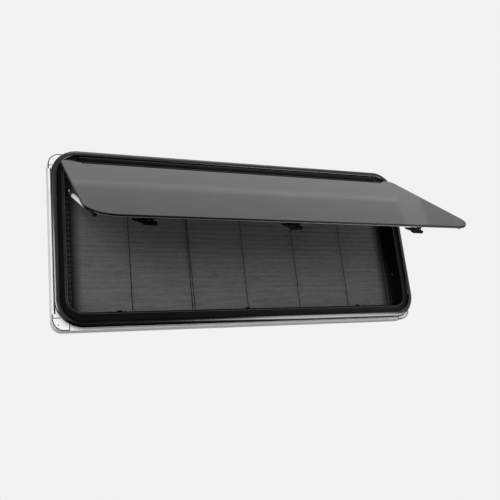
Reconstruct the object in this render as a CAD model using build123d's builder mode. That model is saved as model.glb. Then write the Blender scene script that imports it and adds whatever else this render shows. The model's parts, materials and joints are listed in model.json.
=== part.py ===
"""Top-hung hinged window for a caravan or camper wall, held open on two telescopic stays.

Axes: +X to the right seen from outside, +Z up, +Y into the room. The origin is the middle of the
wall cut-out, on the wall's outer skin. Lengths are in millimetres, angles in degrees.
Every moving piece is modelled where it stands with the sash open at `open_angle`.
"""

import os
from math import atan2, cos, degrees, hypot, radians, sin

from build123d import *

os.makedirs("parts", exist_ok=True)

# ---------------------------------------------------------------- driving dimensions
cutout_width = 1100.0
cutout_height = 450.0
cutout_corner_radius = 48.0
wall_thickness = 30.0

# outer frame: a clamp flange with a rounded rim, a drip channel and a neck through the wall
frame_overlap = 28.0
flange_thickness = 3.0
rim_width = 17.0
rim_height = 9.0
rim_round = 8.0
neck_clearance = 2.0
neck_wall = 3.0
neck_past_wall = 12.0
ledge_reach = 4.0
ledge_depth = 6.0
bead_reach = 2.0
bead_width = 2.5
bead_setback = 3.0
wall_seal_width = 12.0
wall_seal_thickness = 1.5
wall_seal_inset = 3.0
seal_gap = 0.3
seal_lip_run = 6.0
seal_lip_rise = 4.4
drain_radius = 2.5
drain_spacing = 291.0
drain_inset = 14.0
drain_depth = 5.0

# hinge: a bead on the frame's rail, inside an open barrel on the sash's rail
hinge_y = -18.0
hinge_drop = 29.5
open_angle = 51.2
bead_radius = 2.5
hinge_running_fit = 0.08
barrel_radius = 5.0
barrel_slot_start = 0.0
barrel_slot_end = 106.0
rail_web = 2.0
fixed_rail_foot = 9.0
rail_end_gap = 2.0
end_stop_width = 2.5

# double pane: a flat outer sheet and a dished inner sheet bonded along their rims
pane_side_cover = 5.0
pane_foot_cover = 9.7
pane_drop = 31.2
pane_setback = 2.3
outer_sheet = 4.0
inner_sheet = 3.0
pane_edge_round = 1.2
pane_ear_rise = 18.0
pane_ear_width = 30.0
pane_ear_round = 14.0
pane_foot_round = 72.0
pane_flange = 34.0
pane_foot_flange = 52.0
dish_depth = 12.0
dish_draft = 35.0
dish_corner_radius = 34.0
rail_lip = 4.0
rail_lip_thickness = 1.5
rail_leaf = 16.0

# lever latches on the sash's lower rim, and their strikers on the frame's ledge
latch_side_inset = 167.0
latch_offset = -12.0
latch_rise = 30.2
latch_base_tail = 44.0
latch_base_nose = 24.0
latch_base_width = 24.0
latch_base_round = 9.0
latch_base_rim = 1.5
latch_base_thickness = 8.5
latch_base_shoulder = 4.0
latch_base_lift = 4.0
latch_hub_radius = 7.0
latch_hook_gap = 0.5
latch_lever_thickness = 8.0
latch_lever_gap = 0.3
latch_lever_radius = 8.0
latch_handle_length = 44.0
latch_handle_width = 11.0
latch_handle_tip_width = 8.0
latch_nose_length = 14.5
latch_nose_width = 9.0
latch_pin_radius = 2.5
latch_pin_head_radius = 6.0
latch_pin_head = 2.0
latch_pin_depth = 10.0
pin_running_fit = 0.08
striker_width = 26.0
striker_thickness = 2.0
striker_ear_width = 4.0
striker_ear_height = 5.0
striker_start = 0.3

# telescopic stays: a rod pivoted on the frame slides in a tube that carries the sash
stay_inset = 16.0
stay_frame_y = 8.0
stay_frame_drop = 91.5
stay_pane_rise = 43.0
stay_pane_standoff = 9.0
stay_rod_radius = 3.5
stay_rod_length = 230.0
stay_tube_radius = 6.0
stay_tube_start = 81.0
stay_slide_fit = 0.08
stay_collar_radius = 6.8
stay_collar_length = 8.0
stay_collar_overlap = 3.0
stay_collar_wall = 0.9
stay_eye_radius = 6.5
stay_eye_thickness = 3.0
stay_tongue = 9.0
stay_pin_radius = 2.5
stay_pin_head_radius = 4.5
stay_pin_head = 1.8
stay_side_gap = 0.3
stay_tube_stop = 17.0
stay_plug_length = 18.0
stay_ear_thickness = 2.5
stay_base_height = 34.0
stay_base_depth = 18.0
stay_web = 3.0
stay_screw_offset = 11.0
stay_screw_radius = 1.5
stay_screw_head_radius = 3.0
stay_screw_head = 1.2
pane_bracket_height = 26.0
pane_bracket_base = 2.0
pane_bracket_gap = 2.0
pane_bracket_round = 3.0

# inner clamp frame: four hollow profiles joined by corner pieces, on the room side of the wall
clamp_overlap = 30.0
clamp_depth = 44.0
clamp_wall = 2.5
clamp_corner_radius = 32.0
clamp_corner_leg = 46.0
clamp_neck_gap = 0.5
clamp_inner_radius = 17.5
clamp_screw_radius = 1.75
clamp_screw_fit = 0.05
clamp_screw_head_radius = 3.5
clamp_screw_head = 1.5
clamp_screw_past = 5.0
clamp_screw_setback = 6.0
side_screw_spacing = 200.0
long_screw_spacing = 280.0
long_screws_per_side = 4
corner_screw_radius = 2.0
corner_screw_head_radius = 4.0
corner_screw_inset = 16.0

# pleated blind in the room-side opening
guide_gap = 0.3
guide_wall = 5.0
guide_depth = 18.0
guide_lip = 2.0
guide_lip_reach = 21.5
guide_slot_width = 8.0
guide_slot_height = 12.3
guide_slot_inset = 3.0
pleat_pitch = 15.3
pleat_swing = 3.7
pleat_skin = 0.8
blind_edge_cover = 14.0
cassette_height = 17.5
cassette_wall = 1.5
pull_bar_height = 16.0
pull_bar_depth = 10.6
pull_bar_gap = 1.0
pull_bar_wall = 1.4
pull_bar_round = 2.0
pull_width = 120.0
pull_reach = 8.0
pull_height = 6.0
shoe_width = 5.0
shoe_gap = 0.3
cord_radius = 0.8
cord_gap = 0.4
blind_cord_count = 5
blind_fit = 0.3

# ---------------------------------------------------------------- worked-out places
half_width = cutout_width / 2
half_height = cutout_height / 2
neck_outside = -neck_clearance
neck_inside = neck_outside - neck_wall
ledge_inside = neck_inside - ledge_reach
neck_end = wall_thickness + neck_past_wall
rim_inside = frame_overlap - rim_width
ledge_back = ledge_depth
hinge_z = half_height + frame_overlap - hinge_drop

sash_out = (0, -cos(radians(open_angle)), sin(radians(open_angle)))
sash_in = (0, cos(radians(open_angle)), -sin(radians(open_angle)))
hinge_point = (0, hinge_y, hinge_z)
sash = Plane(origin=hinge_point, x_dir=(1, 0, 0), z_dir=sash_out)
sash_section = Plane(origin=hinge_point, x_dir=sash_in, z_dir=(1, 0, 0))
frame_section = Plane(origin=hinge_point, x_dir=(0, 1, 0), z_dir=(1, 0, 0))

pane_width = cutout_width + 2 * pane_side_cover
pane_height = hinge_z - pane_drop + half_height + pane_foot_cover
pane_front = -pane_setback
pane_joint = pane_front - outer_sheet
pane_back = pane_joint - inner_sheet
pane_foot = -pane_drop - pane_height
pane_middle = -pane_drop - pane_height / 2
rail_half_length = half_width - cutout_corner_radius
seal_front = hinge_y - pane_back + seal_gap

stay_x = half_width + neck_inside - stay_inset
stay_frame_rise = hinge_z - stay_frame_drop
stay_pane_up = pane_foot + stay_pane_rise

clamp_inside = neck_outside + clamp_neck_gap
clamp_back = wall_thickness + clamp_depth
guide_front = neck_end + guide_gap
guide_inside = clamp_inside - guide_wall
lip_inside = guide_inside - guide_lip_reach
opening_half_height = half_height + clamp_inside
guide_half_height = opening_half_height - cassette_height
blind_y = guide_front + guide_depth / 2
blind_half_width = half_width + lip_inside + blind_edge_cover


# ---------------------------------------------------------------- helpers
def wall_plane(y):
    """The plane at depth y whose sketches read X to the right and Z up; its normal points outdoors."""
    return Plane.XZ.offset(-y)


def window_outline(grow):
    """A rounded rectangle, the wall cut-out grown by `grow` on every side."""
    with BuildSketch() as outline:
        RectangleRounded(
            cutout_width + 2 * grow, cutout_height + 2 * grow, cutout_corner_radius + grow
        )
    return outline.sketch


def window_ring(y, grow_outside, grow_inside):
    """The band between two window outlines, drawn at depth y."""
    with BuildSketch(wall_plane(y)) as band:
        add(window_outline(grow_outside))
        add(window_outline(grow_inside), mode=Mode.SUBTRACT)
    return band.sketch


def section_polygon(plane, points):
    """A closed outline of straight runs on a plane."""
    with BuildSketch(plane) as outline:
        with BuildLine():
            Polyline(*points, close=True)
        make_face()
    return outline.sketch


def finish(part, name):
    """Label a finished piece and write it as its own STEP file."""
    part.label = name
    export_step(part, f"parts/{name}.step")


def finish_pair(right_part, name):
    """Write a right-hand piece and its mirror image on the left."""
    with BuildPart() as left_piece:
        mirror(right_part, about=Plane.YZ, mode=Mode.ADD)
    finish(right_part, f"{name}_right")
    finish(left_piece.part, f"{name}_left")


def bar(low, high):
    """Add a rectangle between two opposite corners to the sketch in hand."""
    with Locations(((low[0] + high[0]) / 2, (low[1] + high[1]) / 2)):
        Rectangle(high[0] - low[0], high[1] - low[1])


# ---------------------------------------------------------------- outer frame and its seals
with BuildPart() as outer_frame:
    extrude(window_ring(0, frame_overlap, rim_inside), amount=rim_height)
    rim_edges = outer_frame.edges().group_by(Axis.Y)[0]
    fillet(rim_edges, radius=rim_round)
    extrude(window_ring(0, frame_overlap - rim_round, neck_inside), amount=flange_thickness)
    extrude(window_ring(neck_end, neck_outside, neck_inside), amount=neck_end)
    extrude(window_ring(ledge_back, neck_inside, ledge_inside), amount=ledge_back + flange_thickness)
    bead_back = wall_thickness - bead_setback + bead_width
    extrude(window_ring(bead_back, neck_inside, neck_inside - bead_reach), amount=bead_width)
    # groove for the wall seal
    seal_outside = frame_overlap - wall_seal_inset
    wall_seal_band = window_ring(0, seal_outside, seal_outside - wall_seal_width)
    extrude(wall_seal_band, amount=wall_seal_thickness, mode=Mode.SUBTRACT)
    # drain holes in the lower rim
    drain_z = -half_height - frame_overlap + drain_inset
    with BuildSketch(wall_plane(-rim_height)):
        with Locations((0, drain_z)):
            with GridLocations(drain_spacing, 1, 4, 1):
                Circle(drain_radius)
    extrude(amount=-drain_depth, mode=Mode.SUBTRACT)
    # clearance holes for the clamp screws, through the neck
    clamp_screw_y = wall_thickness + clamp_screw_setback
    with BuildSketch(Plane.XY.offset(-half_height - frame_overlap)):
        with Locations((0, clamp_screw_y)):
            with GridLocations(long_screw_spacing, 1, long_screws_per_side, 1):
                Circle(clamp_screw_radius + clamp_screw_fit)
    extrude(amount=cutout_height + 2 * frame_overlap, mode=Mode.SUBTRACT)
    with BuildSketch(Plane.YZ.offset(-half_width - frame_overlap)):
        with Locations((clamp_screw_y, 0)):
            with GridLocations(1, side_screw_spacing, 1, 2):
                Circle(clamp_screw_radius + clamp_screw_fit)
    extrude(amount=cutout_width + 2 * frame_overlap, mode=Mode.SUBTRACT)
    # holes for the screws of the two stay brackets
    stay_screw_y = stay_frame_y + stay_base_depth / 2
    with BuildSketch(Plane.YZ.offset(-half_width - frame_overlap)):
        with Locations((stay_screw_y, stay_frame_rise)):
            with GridLocations(1, 2 * stay_screw_offset, 1, 2):
                Circle(stay_screw_radius + clamp_screw_fit)
    extrude(amount=cutout_width + 2 * frame_overlap, mode=Mode.SUBTRACT)
finish(outer_frame.part, "outer_frame")

with BuildPart() as wall_seal:
    extrude(wall_seal_band, amount=wall_seal_thickness)
finish(wall_seal.part, "wall_seal")

with BuildPart() as pane_seal:
    extrude(window_ring(-flange_thickness, 0, ledge_inside), amount=-seal_front - flange_thickness)
    lip_faces = pane_seal.faces().filter_by(Axis.Y).sort_by(Axis.Y)
    front_face = lip_faces[0]
    outer_edges = front_face.outer_wire().edges()
    chamfer(outer_edges, length=seal_lip_run, length2=seal_lip_rise, reference=front_face)
finish(pane_seal.part, "pane_seal")

with BuildPart() as drain_plugs:
    with BuildSketch(wall_plane(-rim_height + drain_depth)):
        with Locations((0, drain_z)):
            with GridLocations(drain_spacing, 1, 4, 1):
                Circle(drain_radius)
    extrude(amount=drain_depth / 2)
finish(drain_plugs.part, "drain_plugs")

# ---------------------------------------------------------------- hinge
floor_in = -flange_thickness - hinge_y
foot_low = half_height + 1 - hinge_z
foot_high = foot_low + fixed_rail_foot
with BuildPart() as hinge_rail_fixed:
    foot = [
        (floor_in, foot_low),
        (floor_in, foot_high),
        (floor_in - rail_web, foot_high),
        (floor_in - rail_web, foot_high - fixed_rail_foot / 2 + rail_web / 2),
        (0, rail_web / 2),
        (0, -rail_web / 2),
        (floor_in - rail_web, foot_high - fixed_rail_foot / 2 - rail_web / 2),
        (floor_in - rail_web, foot_low),
    ]
    extrude(section_polygon(frame_section, foot), amount=rail_half_length, both=True)
    with BuildSketch(frame_section):
        Circle(bead_radius)
    extrude(amount=rail_half_length, both=True)
finish(hinge_rail_fixed.part, "hinge_rail_fixed")

with BuildPart() as hinge_end_stops:
    for stop_x in (-rail_half_length - end_stop_width, rail_half_length):
        with BuildSketch(frame_section.offset(stop_x)):
            Circle(barrel_radius)
            with Locations((floor_in / 2, foot_low + fixed_rail_foot / 2)):
                Rectangle(floor_in, fixed_rail_foot)
        extrude(amount=end_stop_width)
finish(hinge_end_stops.part, "hinge_end_stops")

with BuildPart() as hinge_rail_moving:
    leaf_in = -pane_back
    seat_up = -pane_drop + rail_web
    arm_up = 1 - barrel_radius
    lip_in = pane_setback - rail_lip_thickness
    with BuildSketch(sash_section) as rail_section:
        Circle(barrel_radius)
        bar((-rail_web, arm_up - rail_web), (leaf_in, arm_up))
        bar((leaf_in - rail_web, seat_up - rail_web / 2), (leaf_in, arm_up))
        bar((lip_in, -pane_drop), (leaf_in + rail_web, seat_up))
        bar((lip_in, -pane_drop - rail_lip), (pane_setback, seat_up))
        bar((leaf_in, -pane_drop - rail_leaf), (leaf_in + rail_web, seat_up))
        Circle(bead_radius + hinge_running_fit, mode=Mode.SUBTRACT)
        # the slot that lets the frame's web through while the barrel turns
        slot_reach = 2 * barrel_radius
        slot_middle = (barrel_slot_start + barrel_slot_end) / 2
        slot_angles = [radians(a) for a in (barrel_slot_start, slot_middle, barrel_slot_end)]
        with BuildLine():
            Polyline((0, 0), *[(slot_reach * cos(a), slot_reach * sin(a)) for a in slot_angles], close=True)
        make_face(mode=Mode.SUBTRACT)
    extrude(amount=rail_half_length - rail_end_gap, both=True)
finish(hinge_rail_moving.part, "hinge_rail_moving")


# ---------------------------------------------------------------- double pane
def sheet_outline(out):
    """The pane's outline on the sash, at a height along its outward normal: a rectangle under the
    rail with a rounded foot, and an ear past each end of the rail that covers the frame's corner."""
    with BuildSketch(sash.offset(out)) as outline:
        with Locations((0, pane_middle)):
            Rectangle(pane_width, pane_height)
        for side in (-1, 1):
            ear_side = side * pane_width / 2
            ear_top = ear_side - side * pane_ear_width
            ear_start = side * rail_half_length
            with BuildLine():
                Polyline(
                    (ear_side, pane_middle),
                    (ear_side, -pane_drop + pane_ear_rise),
                    (ear_top, -pane_drop + pane_ear_rise),
                    (ear_start, -pane_drop),
                    (ear_start, pane_middle),
                    close=True,
                )
            make_face()
        foot_corners = outline.vertices().group_by(Axis.Y)[0]
        fillet(foot_corners, radius=pane_foot_round)
        ear_corners = outline.vertices().group_by(Axis.Y)[-1].sort_by(Axis.X)
        fillet([ear_corners[0], ear_corners[-1]], radius=pane_ear_round)
    return outline.sketch


with BuildPart() as outer_pane:
    extrude(sheet_outline(pane_front), amount=-outer_sheet)
    front_edges = outer_pane.faces().sort_by(SortBy.AREA)[-2:].sort_by(Axis.Z)[-1].edges()
    fillet(front_edges, radius=pane_edge_round)
finish(outer_pane.part, "outer_pane")

dish_width = pane_width - 2 * pane_flange
dish_height = pane_height - pane_flange - pane_foot_flange
dish_middle = pane_middle + (pane_foot_flange - pane_flange) / 2
with BuildPart() as inner_pane:
    extrude(sheet_outline(pane_joint), amount=-inner_sheet)
    with BuildSketch(sash.offset(pane_back)):
        with Locations((0, dish_middle)):
            RectangleRounded(dish_width, dish_height, dish_corner_radius)
    extrude(amount=-dish_depth, taper=dish_draft)
    with BuildSketch(sash.offset(pane_joint)):
        with Locations((0, dish_middle)):
            RectangleRounded(
                dish_width - inner_sheet, dish_height - inner_sheet, dish_corner_radius - inner_sheet / 2
            )
    extrude(amount=-dish_depth, taper=dish_draft, mode=Mode.SUBTRACT)
finish(inner_pane.part, "inner_pane")

# ---------------------------------------------------------------- latches
latch_spacing = pane_width / 2 - latch_side_inset
latch_places = {
    "left": latch_offset - latch_spacing,
    "centre": latch_offset,
    "right": latch_offset + latch_spacing,
}
latch_up = pane_foot + latch_rise
latch_base_top = pane_back - latch_base_thickness
latch_base_foot = latch_up + latch_base_lift - latch_base_width / 2
latch_base_crown = latch_hub_radius + latch_base_shoulder
lever_outside = hinge_y - ledge_back - latch_hook_gap
lever_top = lever_outside - latch_lever_thickness
hub_top = lever_outside + latch_lever_gap

for place, latch_x in latch_places.items():
    base_side = Plane(
        origin=sash.from_local_coords(Vector(latch_x, latch_base_foot, pane_back)),
        x_dir=(1, 0, 0),
        z_dir=sash.y_dir,
    )
    with BuildPart() as latch_base:
        with BuildSketch(base_side):
            with BuildLine():
                Polyline(
                    (-latch_base_tail, 0),
                    (-latch_base_tail, latch_base_rim),
                    (-latch_base_crown, latch_base_thickness),
                    (latch_base_crown, latch_base_thickness),
                    (latch_base_nose, latch_base_rim),
                    (latch_base_nose, 0),
                    close=True,
                )
            make_face()
        extrude(amount=latch_base_width)
        with BuildSketch(sash.offset(pane_back)):
            base_middle = latch_x + (latch_base_nose - latch_base_tail) / 2
            with Locations((base_middle, latch_base_foot + latch_base_width / 2)):
                RectangleRounded(
                    latch_base_tail + latch_base_nose, latch_base_width, latch_base_round
                )
        extrude(amount=-latch_base_thickness, mode=Mode.INTERSECT)
        with BuildSketch(sash.offset(latch_base_top)):
            with Locations((latch_x, latch_up)):
                Circle(latch_hub_radius)
        extrude(amount=hub_top - latch_base_top)
        with BuildSketch(sash.offset(hub_top)):
            with Locations((latch_x, latch_up)):
                Circle(latch_pin_radius)
        extrude(amount=latch_pin_depth, mode=Mode.SUBTRACT)
    finish(latch_base.part, f"latch_base_{place}")

    with BuildPart() as latch_lever:
        with BuildSketch(sash.offset(lever_outside)):
            with Locations((latch_x, latch_up)):
                Circle(latch_lever_radius)
                with Locations((latch_nose_length / 2, 0)):
                    Rectangle(latch_nose_length, latch_nose_width)
            handle_start = latch_x
            handle_end = latch_x - latch_handle_length + latch_handle_tip_width / 2
            with BuildLine():
                Polyline(
                    (handle_start, latch_up - latch_handle_width / 2),
                    (handle_start, latch_up + latch_handle_width / 2),
                    (handle_end, latch_up + latch_handle_tip_width / 2),
                    (handle_end, latch_up - latch_handle_tip_width / 2),
                    close=True,
                )
            make_face()
            with Locations((handle_end, latch_up)):
                Circle(latch_handle_tip_width / 2)
            with Locations((latch_x, latch_up)):
                Circle(latch_pin_radius + pin_running_fit, mode=Mode.SUBTRACT)
        extrude(amount=-latch_lever_thickness)
    finish(latch_lever.part, f"latch_lever_{place}")

with BuildPart() as latch_pins:
    pin_head_low = lever_top - latch_lever_gap
    for latch_x in latch_places.values():
        with BuildSketch(sash.offset(hub_top + latch_pin_depth)):
            with Locations((latch_x, latch_up)):
                Circle(latch_pin_radius)
        extrude(amount=pin_head_low - hub_top - latch_pin_depth)
        with BuildSketch(sash.offset(pin_head_low)):
            with Locations((latch_x, latch_up)):
                Circle(latch_pin_head_radius)
        extrude(amount=-latch_pin_head)
finish(latch_pins.part, "latch_pins")

ledge_z = -half_height - ledge_inside
for place, striker_x in latch_places.items():
    with BuildPart() as striker:
        with BuildSketch(wall_plane(ledge_back)):
            with Locations((striker_x, ledge_z)):
                Rectangle(striker_width, striker_thickness, align=(Align.CENTER, Align.MIN))
                ear_x = (striker_width - striker_ear_width) / 2
                with Locations((-ear_x, 0), (ear_x, 0)):
                    Rectangle(
                        striker_ear_width, striker_ear_height, align=(Align.CENTER, Align.MIN)
                    )
        extrude(amount=ledge_back - striker_start)
    finish(striker.part, f"striker_{place}")

# ---------------------------------------------------------------- stays
stay_pane_out = pane_back - stay_pane_standoff
stay_foot = Vector(0, stay_frame_y, stay_frame_rise)
stay_head = sash.from_local_coords(Vector(0, stay_pane_up, stay_pane_out))
stay_run = stay_head - stay_foot
stay_length = stay_run.length
stay_plane = Plane(
    origin=(stay_x, stay_foot.Y, stay_foot.Z), x_dir=stay_run.normalized(), z_dir=(1, 0, 0)
)
eye_low = -stay_eye_thickness / 2
eye_high = stay_eye_thickness / 2


def stay_disc(plane, along, radius, low, high):
    """A disc about an axis along X, at a distance along the stay, between two heights on the plane."""
    with BuildPart() as disc:
        with BuildSketch(plane.offset(low)):
            with Locations((along, 0)):
                Circle(radius)
        extrude(amount=high - low)
    return disc.part


def stay_round(start, end, radius, bore=0.0):
    """A round bar or tube on the stay's axis between two distances from the frame pivot."""
    cross = Plane(origin=stay_plane.origin + stay_run.normalized() * start, z_dir=stay_run.normalized())
    with BuildPart() as bar_part:
        with BuildSketch(cross):
            Circle(radius)
            if bore:
                Circle(bore, mode=Mode.SUBTRACT)
        extrude(amount=end - start)
    return bar_part.part


with BuildPart() as stay_rod:
    add(stay_disc(stay_plane, 0, stay_eye_radius, eye_low, eye_high))
    with BuildSketch(stay_plane.offset(eye_low)):
        bar((0, -stay_rod_radius), (stay_tongue, stay_rod_radius))
    extrude(amount=stay_eye_thickness)
    add(stay_round(stay_tongue, stay_rod_length, stay_rod_radius))
    add(
        stay_disc(stay_plane, 0, stay_pin_radius + pin_running_fit, 4 * eye_low, 4 * eye_high),
        mode=Mode.SUBTRACT,
    )
finish_pair(stay_rod.part, "stay_rod")

tube_end = stay_length - stay_tube_stop
tube_bore = stay_rod_radius + stay_slide_fit
with BuildPart() as stay_tube:
    add(stay_round(stay_tube_start, tube_end, stay_tube_radius, bore=tube_bore))
finish_pair(stay_tube.part, "stay_tube")

collar_start = stay_tube_start - stay_collar_length + stay_collar_overlap
with BuildPart() as stay_collar:
    add(stay_round(collar_start, stay_tube_start, stay_collar_radius, bore=tube_bore))
    add(
        stay_round(
            stay_tube_start,
            stay_tube_start + stay_collar_overlap,
            stay_tube_radius + stay_collar_wall,
            bore=stay_tube_radius,
        )
    )
finish_pair(stay_collar.part, "stay_collar")

with BuildPart() as stay_end:
    add(stay_round(tube_end - stay_plug_length, tube_end, tube_bore))
    add(stay_round(tube_end, tube_end + stay_web, stay_tube_radius))
    with BuildSketch(stay_plane.offset(eye_low)):
        bar((tube_end + stay_web, -stay_rod_radius), (stay_length, stay_rod_radius))
        with Locations((stay_length, 0)):
            Circle(stay_eye_radius)
    extrude(amount=stay_eye_thickness)
    rivet_low = eye_low - stay_pin_head
    add(stay_disc(stay_plane, stay_length, stay_pin_head_radius, rivet_low, eye_low))
finish_pair(stay_end.part, "stay_end")

ear_start = eye_high + stay_side_gap
ear_end = ear_start + stay_ear_thickness
stay_upright = Plane(origin=stay_plane.origin, x_dir=(0, 1, 0), z_dir=(1, 0, 0))
base_out = half_width + neck_inside - stay_x
base_in = base_out - stay_ear_thickness
bracket_web_y = stay_base_depth - stay_web
with BuildPart() as stay_bracket_frame:
    with BuildSketch(stay_upright.offset(ear_start)):
        Circle(stay_eye_radius)
        bar((0, -stay_eye_radius), (stay_base_depth, stay_eye_radius))
    extrude(amount=stay_ear_thickness)
    with BuildSketch(stay_upright.offset(ear_start)):
        bar((bracket_web_y, -stay_eye_radius), (stay_base_depth, stay_eye_radius))
    extrude(amount=base_out - ear_start)
    with BuildSketch(stay_upright.offset(base_in)):
        bar((0, -stay_base_height / 2), (stay_base_depth, stay_base_height / 2))
    extrude(amount=stay_ear_thickness)
    with BuildSketch(stay_upright.offset(base_in)):
        with Locations((stay_base_depth / 2, 0)):
            with GridLocations(1, 2 * stay_screw_offset, 1, 2):
                Circle(stay_screw_radius)
    extrude(amount=stay_ear_thickness, mode=Mode.SUBTRACT)
    head_high = eye_low - stay_side_gap
    add(stay_disc(stay_upright, 0, stay_pin_radius, head_high, ear_start))
    add(stay_disc(stay_upright, 0, stay_pin_head_radius, head_high - stay_pin_head, head_high))
finish_pair(stay_bracket_frame.part, "stay_bracket_frame")

with BuildPart() as stay_screws_right:
    with BuildSketch(stay_upright.offset(base_in)):
        with Locations((stay_base_depth / 2, 0)):
            with GridLocations(1, 2 * stay_screw_offset, 1, 2):
                Circle(stay_screw_radius)
    extrude(amount=stay_ear_thickness + neck_wall)
    with BuildSketch(stay_upright.offset(base_in)):
        with Locations((stay_base_depth / 2, 0)):
            with GridLocations(1, 2 * stay_screw_offset, 1, 2):
                Circle(stay_screw_head_radius)
    extrude(amount=-stay_screw_head)
with BuildPart() as stay_screws:
    add(stay_screws_right.part)
    mirror(stay_screws_right.part, about=Plane.YZ)
finish(stay_screws.part, "stay_screws")

base_inside = pane_width / 2 - pane_flange + pane_bracket_gap
base_outside = stay_x + ear_end + stay_pin_head
bracket_side = Plane(
    origin=sash.from_local_coords(Vector(stay_x, stay_pane_up, stay_pane_out)),
    x_dir=sash_out,
    z_dir=(1, 0, 0),
)
with BuildPart() as stay_bracket_pane:
    with BuildSketch(bracket_side.offset(ear_start)):
        Circle(stay_eye_radius)
        bar((0, -stay_eye_radius), (stay_pane_standoff, stay_eye_radius))
    extrude(amount=stay_ear_thickness)
    add(stay_disc(bracket_side, 0, stay_pin_head_radius, ear_end, ear_end + stay_pin_head))
    # the base stays on the pane's flat rim, from beside the dish to under the rivet's head
    with BuildSketch(sash.offset(pane_back)):
        base_middle_up = stay_pane_up - stay_eye_radius + pane_bracket_height / 2
        with Locations(((base_inside + base_outside) / 2, base_middle_up)):
            RectangleRounded(base_outside - base_inside, pane_bracket_height, pane_bracket_round)
    extrude(amount=-pane_bracket_base)
finish_pair(stay_bracket_pane.part, "stay_bracket_pane")

# ---------------------------------------------------------------- inner clamp frame
clamp_half_width = half_width + clamp_overlap
clamp_half_height = half_height + clamp_overlap


def hollow_profile(plane, low, high, length):
    """A rectangular tube between two corners of a section plane, centred on that plane."""
    with BuildPart() as tube:
        with BuildSketch(plane) as wall:
            bar(low, high)
            with BuildSketch(mode=Mode.SUBTRACT):
                bar(
                    (low[0] + clamp_wall, low[1] + clamp_wall),
                    (high[0] - clamp_wall, high[1] - clamp_wall),
                )
        extrude(wall.sketch, amount=length / 2, both=True)
    return tube.part


def screw_holes(plane, across, spacing, count, depth):
    """Round cutters for the clamp screws, spaced along the second direction of a plane."""
    with BuildPart() as cutters:
        with BuildSketch(plane):
            with Locations((across, 0)):
                with GridLocations(1, spacing, 1, count):
                    Circle(clamp_screw_radius + clamp_screw_fit)
        extrude(amount=depth)
    return cutters.part


side_length = 2 * (clamp_half_height - clamp_corner_leg)
long_length = 2 * (clamp_half_width - clamp_corner_leg)
with BuildPart() as inner_frame_side:
    side_low = (half_width + clamp_inside, wall_thickness)
    side_high = (clamp_half_width, clamp_back)
    add(hollow_profile(Plane.XY, side_low, side_high, side_length))
    side_web = Plane.YZ.offset(half_width + clamp_inside)
    add(
        screw_holes(side_web, clamp_screw_y, side_screw_spacing, 2, clamp_wall),
        mode=Mode.SUBTRACT,
    )
finish_pair(inner_frame_side.part, "inner_frame")

for place, sign in {"bottom": -1, "top": 1}.items():
    with BuildPart() as inner_frame_long:
        z_ends = sorted((sign * (half_height + clamp_inside), sign * clamp_half_height))
        add(
            hollow_profile(Plane.YZ, (wall_thickness, z_ends[0]), (clamp_back, z_ends[1]), long_length)
        )
        web_plane = Plane(
            origin=(0, 0, sign * (half_height + clamp_inside)), x_dir=(0, 1, 0), z_dir=(0, 0, sign)
        )
        add(
            screw_holes(
                web_plane, clamp_screw_y, long_screw_spacing, long_screws_per_side, clamp_wall
            ),
            mode=Mode.SUBTRACT,
        )
    finish(inner_frame_long.part, f"inner_frame_{place}")


def corner_band(y, trim):
    """The clamp frame's outline near one corner, with its walls moved in by `trim`."""
    with BuildSketch(wall_plane(y)) as band:
        RectangleRounded(
            2 * (clamp_half_width - trim), 2 * (clamp_half_height - trim), clamp_corner_radius - trim
        )
        RectangleRounded(
            2 * (half_width + clamp_inside + trim),
            2 * (half_height + clamp_inside + trim),
            clamp_inner_radius + trim,
            mode=Mode.SUBTRACT,
        )
        with Locations((clamp_half_width, clamp_half_height)):
            Rectangle(2 * clamp_corner_leg, 2 * clamp_corner_leg, mode=Mode.INTERSECT)
    return band.sketch


with BuildPart() as inner_corner:
    extrude(corner_band(clamp_back, 0), amount=clamp_depth)
    extrude(
        corner_band(clamp_back - clamp_wall, clamp_wall),
        amount=clamp_depth - 2 * clamp_wall,
        mode=Mode.SUBTRACT,
    )
    with BuildSketch(wall_plane(clamp_back)):
        with Locations((clamp_half_width - corner_screw_inset, clamp_half_height - corner_screw_inset)):
            Circle(corner_screw_radius)
    extrude(amount=clamp_depth, mode=Mode.SUBTRACT)
with BuildPart() as inner_corner_low:
    mirror(inner_corner.part, about=Plane.XY)
finish_pair(inner_corner.part, "inner_corner_top")
finish_pair(inner_corner_low.part, "inner_corner_bottom")

with BuildPart() as corner_screws:
    screw_x = clamp_half_width - corner_screw_inset
    screw_z = clamp_half_height - corner_screw_inset
    with BuildSketch(wall_plane(clamp_back)):
        with GridLocations(2 * screw_x, 2 * screw_z, 2, 2):
            Circle(corner_screw_radius)
    extrude(amount=clamp_depth)
    with BuildSketch(wall_plane(clamp_back)):
        with GridLocations(2 * screw_x, 2 * screw_z, 2, 2):
            Circle(corner_screw_head_radius)
    extrude(amount=-clamp_screw_head)
finish(corner_screws.part, "corner_screws")


def clamp_screw(head_seat):
    """One screw on the plane's normal: a shank that goes in from the seat and a head in front of it."""
    with BuildPart() as screw:
        with BuildSketch(head_seat):
            Circle(clamp_screw_radius)
        extrude(amount=neck_wall + clamp_neck_gap + clamp_wall + clamp_screw_past)
        with BuildSketch(head_seat):
            Circle(clamp_screw_head_radius)
        extrude(amount=-clamp_screw_head)
    return screw.part


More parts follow.
